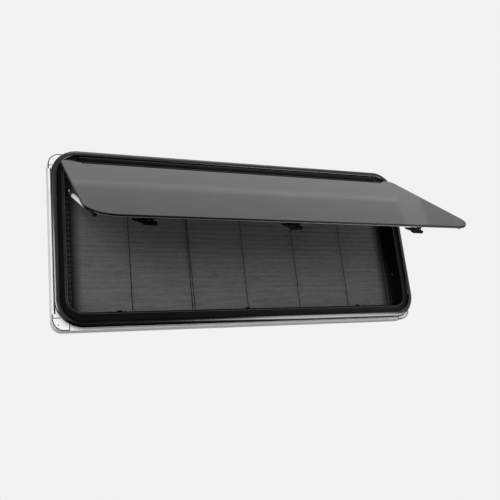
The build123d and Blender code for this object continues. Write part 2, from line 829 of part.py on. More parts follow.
with BuildPart() as clamp_screws:
    for sign in (-1, 1):
        for z in (-side_screw_spacing / 2, side_screw_spacing / 2):
            seat = Plane(
                origin=(sign * (half_width + neck_inside), clamp_screw_y, z), z_dir=(sign, 0, 0)
            )
            add(clamp_screw(seat))
        for index in range(long_screws_per_side):
            x = (index - (long_screws_per_side - 1) / 2) * long_screw_spacing
            seat = Plane(
                origin=(x, clamp_screw_y, sign * (half_height + neck_inside)), z_dir=(0, 0, sign)
            )
            add(clamp_screw(seat))
finish(clamp_screws.part, "clamp_screws")

# ---------------------------------------------------------------- pleated blind
guide_back = guide_front + guide_depth
wall_x = half_width + guide_inside
lip_x = half_width + lip_inside
with BuildPart() as blind_guide:
    with BuildSketch(Plane.XY):
        bar((wall_x, guide_front), (half_width + clamp_inside, guide_back + guide_lip))
        bar((lip_x, guide_front), (wall_x + 1, guide_front + guide_lip))
        bar((lip_x, guide_back - guide_lip), (wall_x + 1, guide_back))
    extrude(amount=guide_half_height, both=True)
    slot_count = int(2 * guide_half_height // pleat_pitch)
    with BuildSketch(wall_plane(guide_front)):
        with Locations((lip_x + guide_slot_inset + guide_slot_width / 2, 0)):
            with GridLocations(1, pleat_pitch, 1, slot_count):
                Rectangle(guide_slot_width, guide_slot_height)
    extrude(amount=-guide_lip, mode=Mode.SUBTRACT)
finish_pair(blind_guide.part, "blind_guide")

cassette_half_length = half_width + clamp_inside - clamp_inner_radius
cassette_floor = opening_half_height - cassette_wall
for place, sign in {"bottom": -1, "top": 1}.items():
    with BuildPart() as cassette:
        root_z = sign * opening_half_height
        mouth_z = sign * guide_half_height
        floor_z = sign * cassette_floor
        with BuildSketch(Plane.YZ):
            bar((guide_front, min(root_z, mouth_z)), (guide_back, max(root_z, mouth_z)))
            with BuildSketch(mode=Mode.SUBTRACT):
                bar(
                    (guide_front + cassette_wall, min(floor_z, mouth_z)),
                    (guide_back - cassette_wall, max(floor_z, mouth_z)),
                )
        extrude(amount=cassette_half_length, both=True)
    finish(cassette.part, f"blind_cassette_{place}")

bar_top = guide_half_height - pull_bar_gap
bar_bottom = bar_top - pull_bar_height
pleats_bottom = -cassette_floor + blind_fit
pleats_top = bar_bottom - blind_fit
fold_count = 2 * round((pleats_top - pleats_bottom) / pleat_pitch)
fold_step = (pleats_top - pleats_bottom) / fold_count
with BuildPart() as blackout_pleats:
    folds = [
        (blind_y + pleat_swing * (-1) ** k, pleats_bottom + k * fold_step)
        for k in range(fold_count + 1)
    ]
    front_side = [(y - pleat_skin / 2, z) for y, z in folds]
    back_side = [(y + pleat_skin / 2, z) for y, z in reversed(folds)]
    extrude(section_polygon(Plane.YZ, front_side + back_side), amount=blind_half_width, both=True)
finish(blackout_pleats.part, "blackout_pleats")

cord_y = blind_y - pleat_swing - pleat_skin / 2 - cord_gap - cord_radius
cord_spacing = 2 * blind_half_width / (blind_cord_count + 1)
with BuildPart() as blind_cords:
    with BuildSketch(Plane.XY):
        with Locations((0, cord_y)):
            with GridLocations(cord_spacing, 1, blind_cord_count, 1):
                Circle(cord_radius)
    extrude(amount=cassette_floor, both=True)
finish(blind_cords.part, "blind_cords")

bar_front = cord_y + cord_radius + cord_gap
bar_half_length = blind_half_width - shoe_width
with BuildPart() as blind_pull_bar:
    with BuildSketch(Plane.YZ):
        with Locations((bar_front + pull_bar_depth / 2, (bar_top + bar_bottom) / 2)):
            RectangleRounded(pull_bar_depth, pull_bar_height, pull_bar_round)
            inner_depth = pull_bar_depth - 2 * pull_bar_wall
            Rectangle(inner_depth, pull_bar_height - 2 * pull_bar_wall, mode=Mode.SUBTRACT)
    extrude(amount=bar_half_length, both=True)
    with BuildSketch(Plane.YZ):
        bar_back = bar_front + pull_bar_depth
        pull_high = bar_bottom + pull_bar_round + pull_height
        bar((bar_back - pull_bar_wall, bar_bottom + pull_bar_round), (bar_back + pull_reach, pull_high))
    extrude(amount=pull_width / 2, both=True)
finish(blind_pull_bar.part, "blind_pull_bar")

with BuildPart() as blind_bar_shoe:
    shoe_front = guide_front + guide_lip + shoe_gap
    shoe_back = guide_back - guide_lip - shoe_gap
    with BuildSketch(Plane.YZ.offset(bar_half_length)):
        bar((shoe_front, bar_bottom), (shoe_back, bar_top))
    extrude(amount=shoe_width)
with BuildPart() as blind_bar_shoes:
    add(blind_bar_shoe.part)
    mirror(blind_bar_shoe.part, about=Plane.YZ)
finish(blind_bar_shoes.part, "blind_bar_shoes")
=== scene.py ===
# %% [markdown]
# # A caravan window, standing open on its stays
#
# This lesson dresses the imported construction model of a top-hung caravan window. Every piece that
# is made here rides on one of its bodies, so it follows when the window moves.

# %% Load the construction
import json
import math

import bmesh
import bpy
import numpy as np
from mathutils import Matrix, Vector

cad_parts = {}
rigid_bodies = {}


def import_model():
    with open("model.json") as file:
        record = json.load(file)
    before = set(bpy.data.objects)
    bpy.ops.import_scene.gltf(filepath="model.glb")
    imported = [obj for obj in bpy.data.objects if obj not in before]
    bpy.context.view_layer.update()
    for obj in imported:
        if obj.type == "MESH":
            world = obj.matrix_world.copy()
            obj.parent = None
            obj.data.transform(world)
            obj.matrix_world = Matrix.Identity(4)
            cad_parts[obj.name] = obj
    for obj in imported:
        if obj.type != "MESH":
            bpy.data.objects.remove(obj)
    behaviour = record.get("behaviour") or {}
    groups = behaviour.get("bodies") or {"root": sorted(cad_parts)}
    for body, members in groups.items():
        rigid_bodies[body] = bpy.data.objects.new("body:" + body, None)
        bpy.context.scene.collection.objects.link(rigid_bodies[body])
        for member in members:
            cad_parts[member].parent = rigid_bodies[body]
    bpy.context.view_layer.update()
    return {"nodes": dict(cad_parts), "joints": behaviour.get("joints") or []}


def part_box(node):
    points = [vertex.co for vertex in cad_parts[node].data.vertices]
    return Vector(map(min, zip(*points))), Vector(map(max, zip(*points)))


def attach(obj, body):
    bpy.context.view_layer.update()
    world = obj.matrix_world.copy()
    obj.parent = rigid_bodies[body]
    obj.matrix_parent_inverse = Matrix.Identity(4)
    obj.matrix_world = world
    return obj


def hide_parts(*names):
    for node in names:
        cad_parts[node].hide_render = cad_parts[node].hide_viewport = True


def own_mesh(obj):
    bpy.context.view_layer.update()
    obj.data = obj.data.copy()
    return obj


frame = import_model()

nodes = frame["nodes"]
joints = {joint["name"]: joint for joint in frame["joints"]}
MM = 0.001

# %% [markdown]
# ## Sizes that the pieces share
#
# A dressed piece has to sit where the construction says, so sizes are read from the nodes' boxes
# and the joints. A reader could also type them in, but then a change of the model would leave the
# looks behind.

# %% Read the window's main sizes
cutout_half_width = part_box("pane_seal")[1].x
cutout_half_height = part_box("pane_seal")[1].z
cutout_corner_radius = 48 * MM
frame_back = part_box("outer_frame")[1].y
frame_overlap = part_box("outer_frame")[1].x - cutout_half_width
hinge_y, hinge_z = joints["sash_hinge"]["pos_m"][1:]
open_angle = math.radians(joints["sash_hinge"]["range_deg"][1])
print("cut-out half sizes", cutout_half_width, cutout_half_height, "flange", frame_overlap)

# %% [markdown]
# ## Surfaces from arrays
#
# Nearly every piece of a window is one section carried along a line: a moulding round the opening,
# a bar across it, a sheet with a rounded rim. Curves with a bevel object could do that, but their
# joints at the corners are hard to control. Here a piece is an array of points, one row for each
# place along the line and one column for each point of the section.


# %% Helpers for array surfaces
def rounded_corners(corners, radii, steps=5):
    """A closed outline from corner points: each corner of radius r is an arc that touches both
    sides at r * tan(half the turn), and a radius of 0 keeps the corner sharp. `steps` is one
    number for all corners, or one for each."""
    corners = np.asarray(corners, float)
    before = np.roll(corners, 1, axis=0) - corners
    after = np.roll(corners, -1, axis=0) - corners
    before /= np.linalg.norm(before, axis=1, keepdims=True)
    after /= np.linalg.norm(after, axis=1, keepdims=True)
    outline = []
    steps = np.broadcast_to(steps, len(radii))
    for corner, to_last, to_next, radius, step_count in zip(corners, before, after, radii, steps):
        if radius == 0:
            outline.append(corner[None])
            continue
        half = math.acos(np.clip(np.dot(to_last, to_next), -1, 1)) / 2
        middle = (to_last + to_next) / np.linalg.norm(to_last + to_next)
        centre = corner + middle * radius / math.sin(half)
        start = corner + to_last * radius / math.tan(half) - centre
        end = corner + to_next * radius / math.tan(half) - centre
        turn = math.pi - 2 * half
        share = np.linspace(0, 1, step_count + 1)[:, None]
        arc = (np.sin((1 - share) * turn) * start + np.sin(share * turn) * end) / math.sin(turn)
        outline.append(centre + arc)
    return np.concatenate(outline)


def grid_faces(rows, columns, wrap_rows, wrap_columns):
    """A list of quads between neighbouring rows and columns of a point grid. The point at (row,
    column) has the number row * columns + column, and a wrapped side joins its ends."""
    row = np.arange(rows if wrap_rows else rows - 1)[:, None]
    column = np.arange(columns if wrap_columns else columns - 1)[None]
    next_row, next_column = (row + 1) % rows, (column + 1) % columns
    corners = [row * columns + column, row * columns + next_column]
    corners += [next_row * columns + next_column, next_row * columns + column]
    shape = np.broadcast_shapes(row.shape, column.shape)
    quads = np.stack([np.broadcast_to(corner, shape) for corner in corners], -1)
    return quads.reshape(-1, 4).tolist()


def make_piece(name, points, faces, body, material, sharp_angle=35):
    """A mesh object from arrays, with outward faces, smooth shading and flat faces kept flat."""
    mesh = bpy.data.meshes.new(name)
    mesh.from_pydata(points.reshape(-1, 3).tolist(), [], faces)
    shell = bmesh.new()
    shell.from_mesh(mesh)
    bmesh.ops.recalc_face_normals(shell, faces=shell.faces)
    shell.to_mesh(mesh)
    shell.free()
    piece = bpy.data.objects.new(name, mesh)
    bpy.context.scene.collection.objects.link(piece)
    finish_piece(piece, body, material, sharp_angle)
    return piece


def finish_piece(piece, body, material, sharp_angle=35):
    """Smooth shading with sharp edges past an angle, a material, and the body that carries it."""
    mesh = piece.data
    mesh.shade_smooth()
    mesh.set_sharp_from_angle(angle=math.radians(sharp_angle))
    mesh.materials.clear()
    mesh.materials.append(material)
    weighted = piece.modifiers.new("flat faces stay flat", "WEIGHTED_NORMAL")
    weighted.keep_sharp = True
    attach(piece, body)


def round_rectangle_path(half_width, half_height, radius, steps=16):
    """Points round a rounded rectangle in (u, v), and the outward normal at each: a corner's
    centre plus radius times (cos, sin) of an angle that turns once round."""
    angle = np.linspace(0, math.pi / 2, steps + 1)[None] + np.arange(4)[:, None] * math.pi / 2
    normal = np.stack([np.cos(angle), np.sin(angle)], -1)
    signs = np.array([[1, 1], [-1, 1], [-1, -1], [1, -1]])[:, None]
    centre = signs * np.array([half_width - radius, half_height - radius])
    return (centre + radius * normal).reshape(-1, 2), normal.reshape(-1, 2)


def around_window(section):
    """A section of (grow, depth) points carried round the cut-out: the outline's point plus its
    normal times grow gives X and Z, and depth gives Y. Returns the point grid."""
    path, normal = round_rectangle_path(cutout_half_width, cutout_half_height, cutout_corner_radius)
    across = path[:, None] + normal[:, None] * section[None, :, :1]
    depth = np.broadcast_to(section[None, :, 1:], across.shape[:2] + (1,))
    return np.concatenate([across[..., :1], depth, across[..., 1:]], -1)


def window_moulding(name, section, body, material):
    """A closed section carried all the way round the window."""
    points = around_window(section)
    return make_piece(name, points, grid_faces(*points.shape[:2], True, True), body, material)


# %% [markdown]
# ## The camera, the floor and the world
#
# The window is looked at from below and a little from the left, so its open sash shows its
# outside at a grazing angle. A camera object could be turned by hand until that fits. Here its
# three angles are written down, and its axes are worked out from them. The floor and the world
# show the same pale grey to the camera and in reflections, so no edge cuts behind the window.

# %% Place the camera
camera_data = bpy.data.cameras.new("camera")
camera = bpy.data.objects.new("camera", camera_data)
bpy.context.scene.collection.objects.link(camera)
bpy.context.scene.camera = camera
camera_data.sensor_width = 36
camera_data.lens = 47.8
camera_data.clip_end = 50
camera_place = (-0.8303, -1.7645, -0.5656)
yaw, pitch, roll = (math.radians(degrees) for degrees in (25.32, 15.286, -6.266))
level = math.cos(pitch)
forward = Vector((math.sin(yaw) * level, math.cos(yaw) * level, math.sin(pitch)))
level_right = Vector((math.cos(yaw), -math.sin(yaw), 0))
level_up = level_right.cross(forward)
right = math.cos(roll) * level_right + math.sin(roll) * level_up
up = right.cross(forward)
camera_axes = Matrix((right, up, -forward)).transposed().to_4x4()
camera.matrix_world = Matrix.Translation(camera_place) @ camera_axes
print("camera at", camera_place, "looks along", [round(part, 3) for part in forward])

# %% Make the floor and the world
scene = bpy.context.scene
scene.view_settings.view_transform = "Standard"
BACKGROUND = (0.888, 0.888, 0.880, 1)


def empty_tree(owner):
    """The node tree of a material or world, emptied."""
    owner.use_nodes = True
    owner.node_tree.nodes.clear()
    return owner.node_tree


def plain_shader(tree, kind, colour):
    """A shader node of one plain colour."""
    shader = tree.nodes.new(kind)
    shader.inputs["Color"].default_value = colour
    return shader


def shown_and_lit(tree, shown, lit, output_kind):
    """An output that shows one shader to camera, glossy and transmission rays and gives the other
    to all the rays that light the object: the mix factor is the largest of those three flags."""
    light_path = tree.nodes.new("ShaderNodeLightPath")
    factor = light_path.outputs["Is Camera Ray"]
    for flag in ("Is Glossy Ray", "Is Transmission Ray"):
        either = tree.nodes.new("ShaderNodeMath")
        either.operation = "MAXIMUM"
        tree.links.new(factor, either.inputs[0])
        tree.links.new(light_path.outputs[flag], either.inputs[1])
        factor = either.outputs[0]
    mix = tree.nodes.new("ShaderNodeMixShader")
    output = tree.nodes.new(output_kind)
    for source, socket in zip((factor, lit.outputs[0], shown.outputs[0]), mix.inputs):
        tree.links.new(source, socket)
    tree.links.new(mix.outputs[0], output.inputs[0])


world = bpy.data.worlds.new("pale studio")
scene.world = world
tree = empty_tree(world)
lighting = plain_shader(tree, "ShaderNodeBackground", (0.9, 0.9, 0.9, 1))
lighting.inputs["Strength"].default_value = 0.55
shown = plain_shader(tree, "ShaderNodeBackground", BACKGROUND)
shown_and_lit(tree, shown, lighting, "ShaderNodeOutputWorld")

floor_material = bpy.data.materials.new("pale floor")
tree = empty_tree(floor_material)
matt = plain_shader(tree, "ShaderNodeBsdfDiffuse", (0.45, 0.45, 0.45, 1))
shown = plain_shader(tree, "ShaderNodeEmission", BACKGROUND)
shown_and_lit(tree, shown, matt, "ShaderNodeOutputMaterial")


def plain_sheet(name, half_x, half_y, height, material):
    """A flat rectangle about the Z axis that belongs to the studio and not to the window."""
    mesh = bpy.data.meshes.new(name)
    corners = [(x * half_x, y * half_y, height) for x, y in ((-1, -1), (1, -1), (1, 1), (-1, 1))]
    mesh.from_pydata(corners, [], [(0, 1, 2, 3)])
    mesh.materials.append(material)
    sheet = bpy.data.objects.new(name, mesh)
    scene.collection.objects.link(sheet)
    return sheet


floor_half, floor_z = 8.0, -1.25
plain_sheet("floor", floor_half, floor_half, floor_z, floor_material)
print("floor at", floor_z)

# %% [markdown]
# ## Lamps and cards
#
# Black plastic shows little of its own colour: what shows is what it mirrors. So the studio has two
# kinds of helpers. Large area lamps, called softboxes, light the window evenly, and two of them
# work only as bright reflections along its rounded rim. Plain cards, black, grey or bright, stand
# where the frame and the pane would mirror the empty room, as paper cards do in a real studio.


# %% Hang the lamps
def aimed(place, target):
    """A matrix at a place whose -Z axis points to a target."""
    aim = (Vector(target) - Vector(place)).to_track_quat("-Z", "Y").to_matrix().to_4x4()
    return Matrix.Translation(place) @ aim


def softbox(name, place, target, size, power, only_shine=False, only_light=False):
    """A rectangular area lamp at a place, facing a target. With only_shine it shows as a
    reflection in glossy surfaces and lights nothing; with only_light it is the other way round."""
    lamp = bpy.data.lights.new(name, "AREA")
    lamp.shape = "RECTANGLE"
    lamp.size, lamp.size_y = size
    lamp.energy = power
    holder = bpy.data.objects.new(name, lamp)
    scene.collection.objects.link(holder)
    holder.matrix_world = aimed(place, target)
    holder.visible_camera = False
    holder.visible_diffuse = not only_shine
    holder.visible_glossy = not only_light


# name, place, target, width and height, power in watts
softbox("front softbox", (-1.5, -2.6, 0.05), (0, 0, -0.1), (1.6, 1.0), 80, only_light=True)
softbox("overhead softbox", (0.3, -0.6, 2.6), (0, -0.1, 0), (2.4, 1.6), 25)
softbox("room softbox", (0.8, 2.6, 1.2), (0, 0, 0), (2.0, 2.0), 25)
softbox("left strip", (-2.36, -0.94, 0.05), (-0.6, 0, 0.05), (1.2, 1.3), 75, only_shine=True)
softbox("low strip", (1.75, -1.8, -1.2), (1.75, -1.8, 0), (2.0, 2.2), 175, only_shine=True)
softbox("right fill", (1.6, -2.2, -0.6), (0.4, 0, -0.25), (1.2, 0.8), 12, only_light=True)


def studio_card(name, place, target, size, shade):
    """A plain card that glossy surfaces mirror and nothing else sees: shade is how bright its
    mirror image is. Dark cards keep black plastic black."""
    material = bpy.data.materials.new(name)
    tree = empty_tree(material)
    glow = plain_shader(tree, "ShaderNodeEmission", (shade, shade, shade, 1))
    output = tree.nodes.new("ShaderNodeOutputMaterial")
    tree.links.new(glow.outputs[0], output.inputs[0])
    card = plain_sheet(name, size[0] / 2, size[1] / 2, 0, material)
    card.matrix_world = aimed(place, target)
    card.visible_camera = False
    card.visible_diffuse = False
    card.visible_transmission = False
    card.visible_shadow = False


# name, place, target, width and height, shade
studio_card("black card in front", (1.1, -3.2, 0.05), (1.1, 0, 0.05), (3.4, 2.4), 0.004)
studio_card("black card below", (-0.35, -1.0, -1.22), (-0.35, -1.0, 0), (1.9, 3.4), 0.004)
studio_card("black card at the left", (-2.6, 1.1, 0.15), (-0.6, 1.1, 0.15), (3.0, 2.7), 0.004)
studio_card("black card behind", (1.5, 2.65, -1.21), (1.5, 2.65, 0), (6.0, 5.2), 0.004)
studio_card("bright card in front", (2.15, -3.15, -0.85), (2.15, 0, -0.85), (1.3, 0.75), 12)
studio_card("less bright card in front", (2.15, -3.15, -0.3), (2.15, 0, -0.3), (1.3, 0.35), 7)
studio_card("dim card in front", (2.15, -3.15, 0.2), (2.15, 0, 0.2), (1.3, 0.65), 1.2)
studio_card("grey card above", (2.0, 2.2, 3.0), (2.0, 2.2, 0), (7.0, 2.4), 0.62)
studio_card("darker card above", (1.45, 1.18, 2.99), (1.45, 1.18, 0), (3.25, 1.24), 0.53)
studio_card("side card above", (3.95, 1.2, 2.99), (3.95, 1.2, 0), (1.2, 1.5), 0.48)
studio_card("pale edge above", (1.45, 1.82, 2.98), (1.45, 1.82, 0), (3.25, 0.04), 0.78)

# %% [markdown]
# ## Effects that the finishes share
#
# Real mouldings are never one flat colour. A fine grain breaks their shine, dust lies on them, and
# brushed metal carries fine lines. Each effect is one node group with its own inputs, so every
# finish can use it at its own scale.


# %% Build the shared node groups
def effect(name, inputs, outputs):
    """A shader node group with named number inputs and named outputs."""
    group = bpy.data.node_groups.new(name, "ShaderNodeTree")
    for label, value in inputs.items():
        socket = group.interface.new_socket(label, in_out="INPUT", socket_type="NodeSocketFloat")
        socket.default_value = value
    for label, kind in outputs.items():
        group.interface.new_socket(label, in_out="OUTPUT", socket_type=kind)
    return group, group.nodes.new("NodeGroupInput"), group.nodes.new("NodeGroupOutput")


def noise(group, place, scale, detail=3.0, roughness=0.5):
    """A noise texture on given coordinates; scale is a number or a socket."""
    texture = group.nodes.new("ShaderNodeTexNoise")
    texture.inputs["Detail"].default_value = detail
    texture.inputs["Roughness"].default_value = roughness
    group.links.new(place, texture.inputs["Vector"])
    if isinstance(scale, (int, float)):
        texture.inputs["Scale"].default_value = scale
    else:
        group.links.new(scale, texture.inputs["Scale"])
    return texture.outputs["Fac"]


def remap(group, value, low, high, new_low, new_high):
    """A value moved from one range to another and held inside it."""
    ramp = group.nodes.new("ShaderNodeMapRange")
    ends = {"From Min": low, "From Max": high, "To Min": new_low, "To Max": new_high}
    for label, number in ends.items():
        if isinstance(number, (int, float)):
            ramp.inputs[label].default_value = number
        else:
            group.links.new(number, ramp.inputs[label])
    group.links.new(value, ramp.inputs["Value"])
    return ramp.outputs["Result"]


def calculate(group, operation, first, second):
    """One Math node on two sockets or numbers."""
    step = group.nodes.new("ShaderNodeMath")
    step.operation = operation
    for socket, value in zip(step.inputs, (first, second)):
        if isinstance(value, (int, float)):
            socket.default_value = value
        else:
            group.links.new(value, socket)
    return step.outputs[0]


def stretched(group, factors):
    """Object coordinates scaled by three factors, for lines that run along an axis."""
    place = group.nodes.new("ShaderNodeTexCoord")
    mapping = group.nodes.new("ShaderNodeMapping")
    mapping.inputs["Scale"].default_value = factors
    group.links.new(place.outputs["Object"], mapping.inputs["Vector"])
    return mapping.outputs["Vector"]


# moulded grain: a fine skin and a slow change of shine
relief_and_shine = {"Height": "NodeSocketFloat", "Roughness": "NodeSocketFloat"}
grain_inputs = {"Scale": 900.0, "Low": 0.25, "High": 0.4}
moulded, ask, give = effect("moulded grain", grain_inputs, relief_and_shine)
place = stretched(moulded, (1, 1, 1))
moulded.links.new(noise(moulded, place, ask.outputs["Scale"], 2.0), give.inputs["Height"])
slow = noise(moulded, place, 9.0, 4.0, 0.6)
shine = remap(moulded, slow, 0.3, 0.7, ask.outputs["Low"], ask.outputs["High"])
moulded.links.new(shine, give.inputs["Roughness"])

# dust: patches that lie more on faces that look up
dusty, ask, give = effect("dust film", {"Amount": 0.1}, {"Mask": "NodeSocketFloat"})
normal = dusty.nodes.new("ShaderNodeNewGeometry")
split = dusty.nodes.new("ShaderNodeSeparateXYZ")
dusty.links.new(normal.outputs["Normal"], split.inputs[0])
upward = remap(dusty, split.outputs["Z"], -0.2, 1.0, 0.25, 1.0)
place = stretched(dusty, (1, 1, 1))
patches = remap(dusty, noise(dusty, place, 14.0, 6.0, 0.65), 0.4, 0.75, 0.0, 1.0)
specks = remap(dusty, noise(dusty, place, 420.0, 2.0), 0.62, 0.74, 0.0, 1.0)
film = calculate(dusty, "ADD", patches, specks)
film = calculate(dusty, "MULTIPLY", film, upward)
film = calculate(dusty, "MULTIPLY", film, ask.outputs["Amount"])
dusty.links.new(film, give.inputs["Mask"])


def brushed_lines(name, turn):
    """Fine lines along one direction: noise squeezed more than 200 times across it, on coordinates
    turned so that the lines follow the bar."""
    group, ask, give = effect(name, {"Low": 0.2, "High": 0.4}, relief_and_shine)
    place = group.nodes.new("ShaderNodeTexCoord")
    turned = group.nodes.new("ShaderNodeVectorRotate")
    turned.rotation_type = "EULER_XYZ"
    turned.inputs["Rotation"].default_value = turn
    group.links.new(place.outputs["Object"], turned.inputs["Vector"])
    squeezed = group.nodes.new("ShaderNodeMapping")
    squeezed.inputs["Scale"].default_value = (6, 1400, 1400)
    group.links.new(turned.outputs["Vector"], squeezed.inputs["Vector"])
    lines = noise(group, squeezed.outputs["Vector"], 1.0, 3.0, 0.7)
    group.links.new(lines, give.inputs["Height"])
    shine = remap(group, lines, 0.3, 0.7, ask.outputs["Low"], ask.outputs["High"])
    group.links.new(shine, give.inputs["Roughness"])
    return group


# along X for rails, and along the stays, which run down and outwards
stay_fall = math.radians(28.4)
brushed = brushed_lines("brushed lines along rails", (0, 0, 0))
brushed_stay = brushed_lines("brushed lines along stays", (-stay_fall, 0, math.radians(90)))
print("shared effects:", [group.name for group in bpy.data.node_groups])

# %% [markdown]
# ## Finishes
#
# A window is mostly plastic and rubber, black and white, with a few metal parts. One image could be
# wrapped round each part, but it would stretch and show seams. A finish here is a Principled shader
# whose colour, roughness and bump come from the grain, dust and lines, at the part's real size.
# Numbers that are the same all over a surface stay on the shader's own sockets.


# %% Helpers for finishes
def finish_start(name, roughness=0.4, metallic=0.0, specular=0.5, ior=1.5):
    """A new material with a Principled shader; returns the material, its tree and the shader."""
    material = bpy.data.materials.new(name)
    tree = empty_tree(material)
    shader = tree.nodes.new("ShaderNodeBsdfPrincipled")
    shader.inputs["Roughness"].default_value = roughness
    shader.inputs["Metallic"].default_value = metallic
    shader.inputs["Specular IOR Level"].default_value = specular
    shader.inputs["IOR"].default_value = ior
    surface = tree.nodes.new("ShaderNodeOutputMaterial")
    tree.links.new(shader.outputs[0], surface.inputs[0])
    return material, tree, shader


def use_effect(tree, group, **values):
    """A shared effect placed in a material with its own values."""
    placed = tree.nodes.new("ShaderNodeGroup")
    placed.node_tree = group
    for label, value in values.items():
        placed.inputs[label.capitalize()].default_value = value
    return placed.outputs


def bump(tree, shader, height, strength, distance):
    """A bump of a given depth in metres on the shader's normal."""
    relief = tree.nodes.new("ShaderNodeBump")
    relief.inputs["Strength"].default_value = strength
    relief.inputs["Distance"].default_value = distance
    tree.links.new(height, relief.inputs["Height"])
    tree.links.new(relief.outputs[0], shader.inputs["Normal"])


def blend_colours(tree, factor, first, second):
    """A colour between two colours, or between a socket and a colour."""
    mixer = tree.nodes.new("ShaderNodeMix")
    mixer.data_type = "RGBA"
    tree.links.new(factor, mixer.inputs["Factor"])
    colour_inputs = [entry for entry in mixer.inputs if entry.type == "RGBA"]
    for socket, value in zip(colour_inputs, (first, second)):
        if isinstance(value, tuple):
            socket.default_value = (*value, 1)
        else:
            tree.links.new(value, socket)
    return [entry for entry in mixer.outputs if entry.type == "RGBA"][0]


DUST = (0.3, 0.29, 0.27)
PALE_DUST = (0.3, 0.3, 0.29)


def colour_under_dust(tree, shader, colour, amount, dust=DUST):
    """The shader's base colour: a colour or socket, under a film of dust."""
    film = use_effect(tree, dusty, amount=amount)
    tree.links.new(blend_colours(tree, film["Mask"], colour, dust), shader.inputs["Base Color"])


def moulded_plastic(name, colour, low, high, dust, specular):
    """A moulded plastic with roughness from low to high: grain under the shine, and a little dust
    on top. One number as its colour stands for a neutral grey."""
    material, tree, shader = finish_start(name, specular=specular)
    skin = use_effect(tree, moulded, low=low, high=high)
    tree.links.new(skin["Roughness"], shader.inputs["Roughness"])
    base = colour if isinstance(colour, tuple) else (colour, colour, colour)
    colour_under_dust(tree, shader, base, dust)
    bump(tree, shader, skin["Height"], 0.25, 0.02 * MM)
    return material


# %% Mix the plastics and rubbers
# name, colour, lowest and highest roughness, dust, specular level
frame_black = moulded_plastic("gloss black frame", (0.0022, 0.0022, 0.0023), 0.15, 0.22, 0.008, 0.4)
channel_black = moulded_plastic("satin black channel", 0.0018, 0.4, 0.55, 0.006, 0.06)
small_black = moulded_plastic("satin black fittings", 0.0015, 0.4, 0.55, 0.003, 0.012)
seal_rubber = moulded_plastic("seal rubber", 0.0018, 0.4, 0.55, 0.008, 0.07)
# the band's lighter grey is a painted highlight along the seal's lip
highlight_band_rubber = moulded_plastic("smooth band on the seal", 0.022, 0.3, 0.4, 0.01, 0.12)
# black for the strips that stand for the shade inside the clamp bars' channels
shade_strip_black = moulded_plastic("black foam strip", 0.008, 0.8, 0.95, 0.02, 0.05)
guide_dark = moulded_plastic("blind guide plastic", (0.0035, 0.0035, 0.0036), 0.4, 0.55, 0.01, 0.12)
cord_black = moulded_plastic("black braided cord", 0.002, 0.6, 0.8, 0.005, 0.05)
clamp_white = moulded_plastic("clamp frame white", 0.73, 0.35, 0.5, 0.04, 0.3)
corner_grey = moulded_plastic("corner piece grey", (0.7, 0.7, 0.71), 0.35, 0.5, 0.1, 0.3)
# dark grey: the joints' own colour, and on the corner beads a painted shade of the rounded edge
joint_grey_and_edge_shade = moulded_plastic(
    "grey edge of the corner pieces", (0.03, 0.03, 0.033), 0.5, 0.6, 0.02, 0.1
)
print("plastics from", frame_black.name, "to", joint_grey_and_edge_shade.name)


# %% Mix the metals
def bar_metal(name, colour, low, high, metallic=1.0, specular=0.5, along_x=True):
    """A drawn or anodised metal with fine lines along its length."""
    material, tree, shader = finish_start(name, metallic=metallic, specular=specular)
    lines = use_effect(tree, brushed if along_x else brushed_stay, low=low, high=high)
    tree.links.new(lines["Roughness"], shader.inputs["Roughness"])
    colour_under_dust(tree, shader, colour, 0.04)
    bump(tree, shader, lines["Height"], 0.2, 0.01 * MM)
    return material


# name, colour, lowest and highest roughness
bright_steel = bar_metal("zinc plated steel", (0.72, 0.72, 0.73), 0.2, 0.35, along_x=False)
tube_colour, rail_colour = (0.85, 0.85, 0.86), (0.002, 0.002, 0.002)
stay_aluminium = bar_metal("satin stay tube", tube_colour, 0.35, 0.5, metallic=0.3, along_x=False)
rail_black = bar_metal("black anodised rail", rail_colour, 0.4, 0.5, metallic=0.0, specular=0.08)
blind_aluminium = bar_metal("grey coated pull bar", (0.09, 0.09, 0.09), 0.35, 0.5, metallic=0.4)
print("metals from", bright_steel.name, "to", blind_aluminium.name)

# %% [markdown]
# ## Two finishes on one piece
#
# A rim can be polished while the channel beside it is dull, and a pane is smooth on its face and
# sawn at its edge. Two separate pieces would leave a crack between them. So one mesh gets a second
# material on some of its faces, and the faces are chosen by where they lie or which way they look.


# %% Helpers for painting some faces of a piece
def paint_faces(piece, material, chosen):
    """One more material on the chosen faces of a piece; `chosen` is one True or False per face."""
    piece.data.materials.append(material)
    index = np.zeros(len(chosen), np.int32)
    piece.data.polygons.foreach_get("material_index", index)
    index[chosen] = len(piece.data.materials) - 1
    piece.data.polygons.foreach_set("material_index", index)


def face_normals(piece):
    """The normals of a piece's faces as an array."""
    normals = np.zeros(len(piece.data.polygons) * 3)
    piece.data.polygons.foreach_get("normal", normals)
    return normals.reshape(-1, 3)


def outside_cutout(piece):
    """How far the middle of each face lies outside the cut-out's rounded outline: the usual
    distance to a rounded rectangle, hypot(max(q, 0)) + min(max(q), 0) - radius."""
    middles = np.zeros(len(piece.data.polygons) * 3)
    piece.data.polygons.foreach_get("center", middles)
    sizes = np.array([cutout_half_width, cutout_half_height]) - cutout_corner_radius
    past = np.abs(middles.reshape(-1, 3)[:, [0, 2]]) - sizes
    corner = np.linalg.norm(np.maximum(past, 0), axis=1)
    return corner + np.minimum(past.max(1), 0) - cutout_corner_radius


# %% [markdown]
# ## The outer frame
#
# The frame is one moulding that goes all round: a rounded rim outside, a drip channel, a ledge
# for the seal and a neck through the wall. Its section is a short list of corners, each with its
# own radius, in (grow, depth): grow is how far a point lies outside the cut-out. The rim falls to
# its outer edge along a quarter of an ellipse, which spreads the light over most of its width. The
# faces inside the rim's crest are painted with a duller black, as the channel lies in the shade.

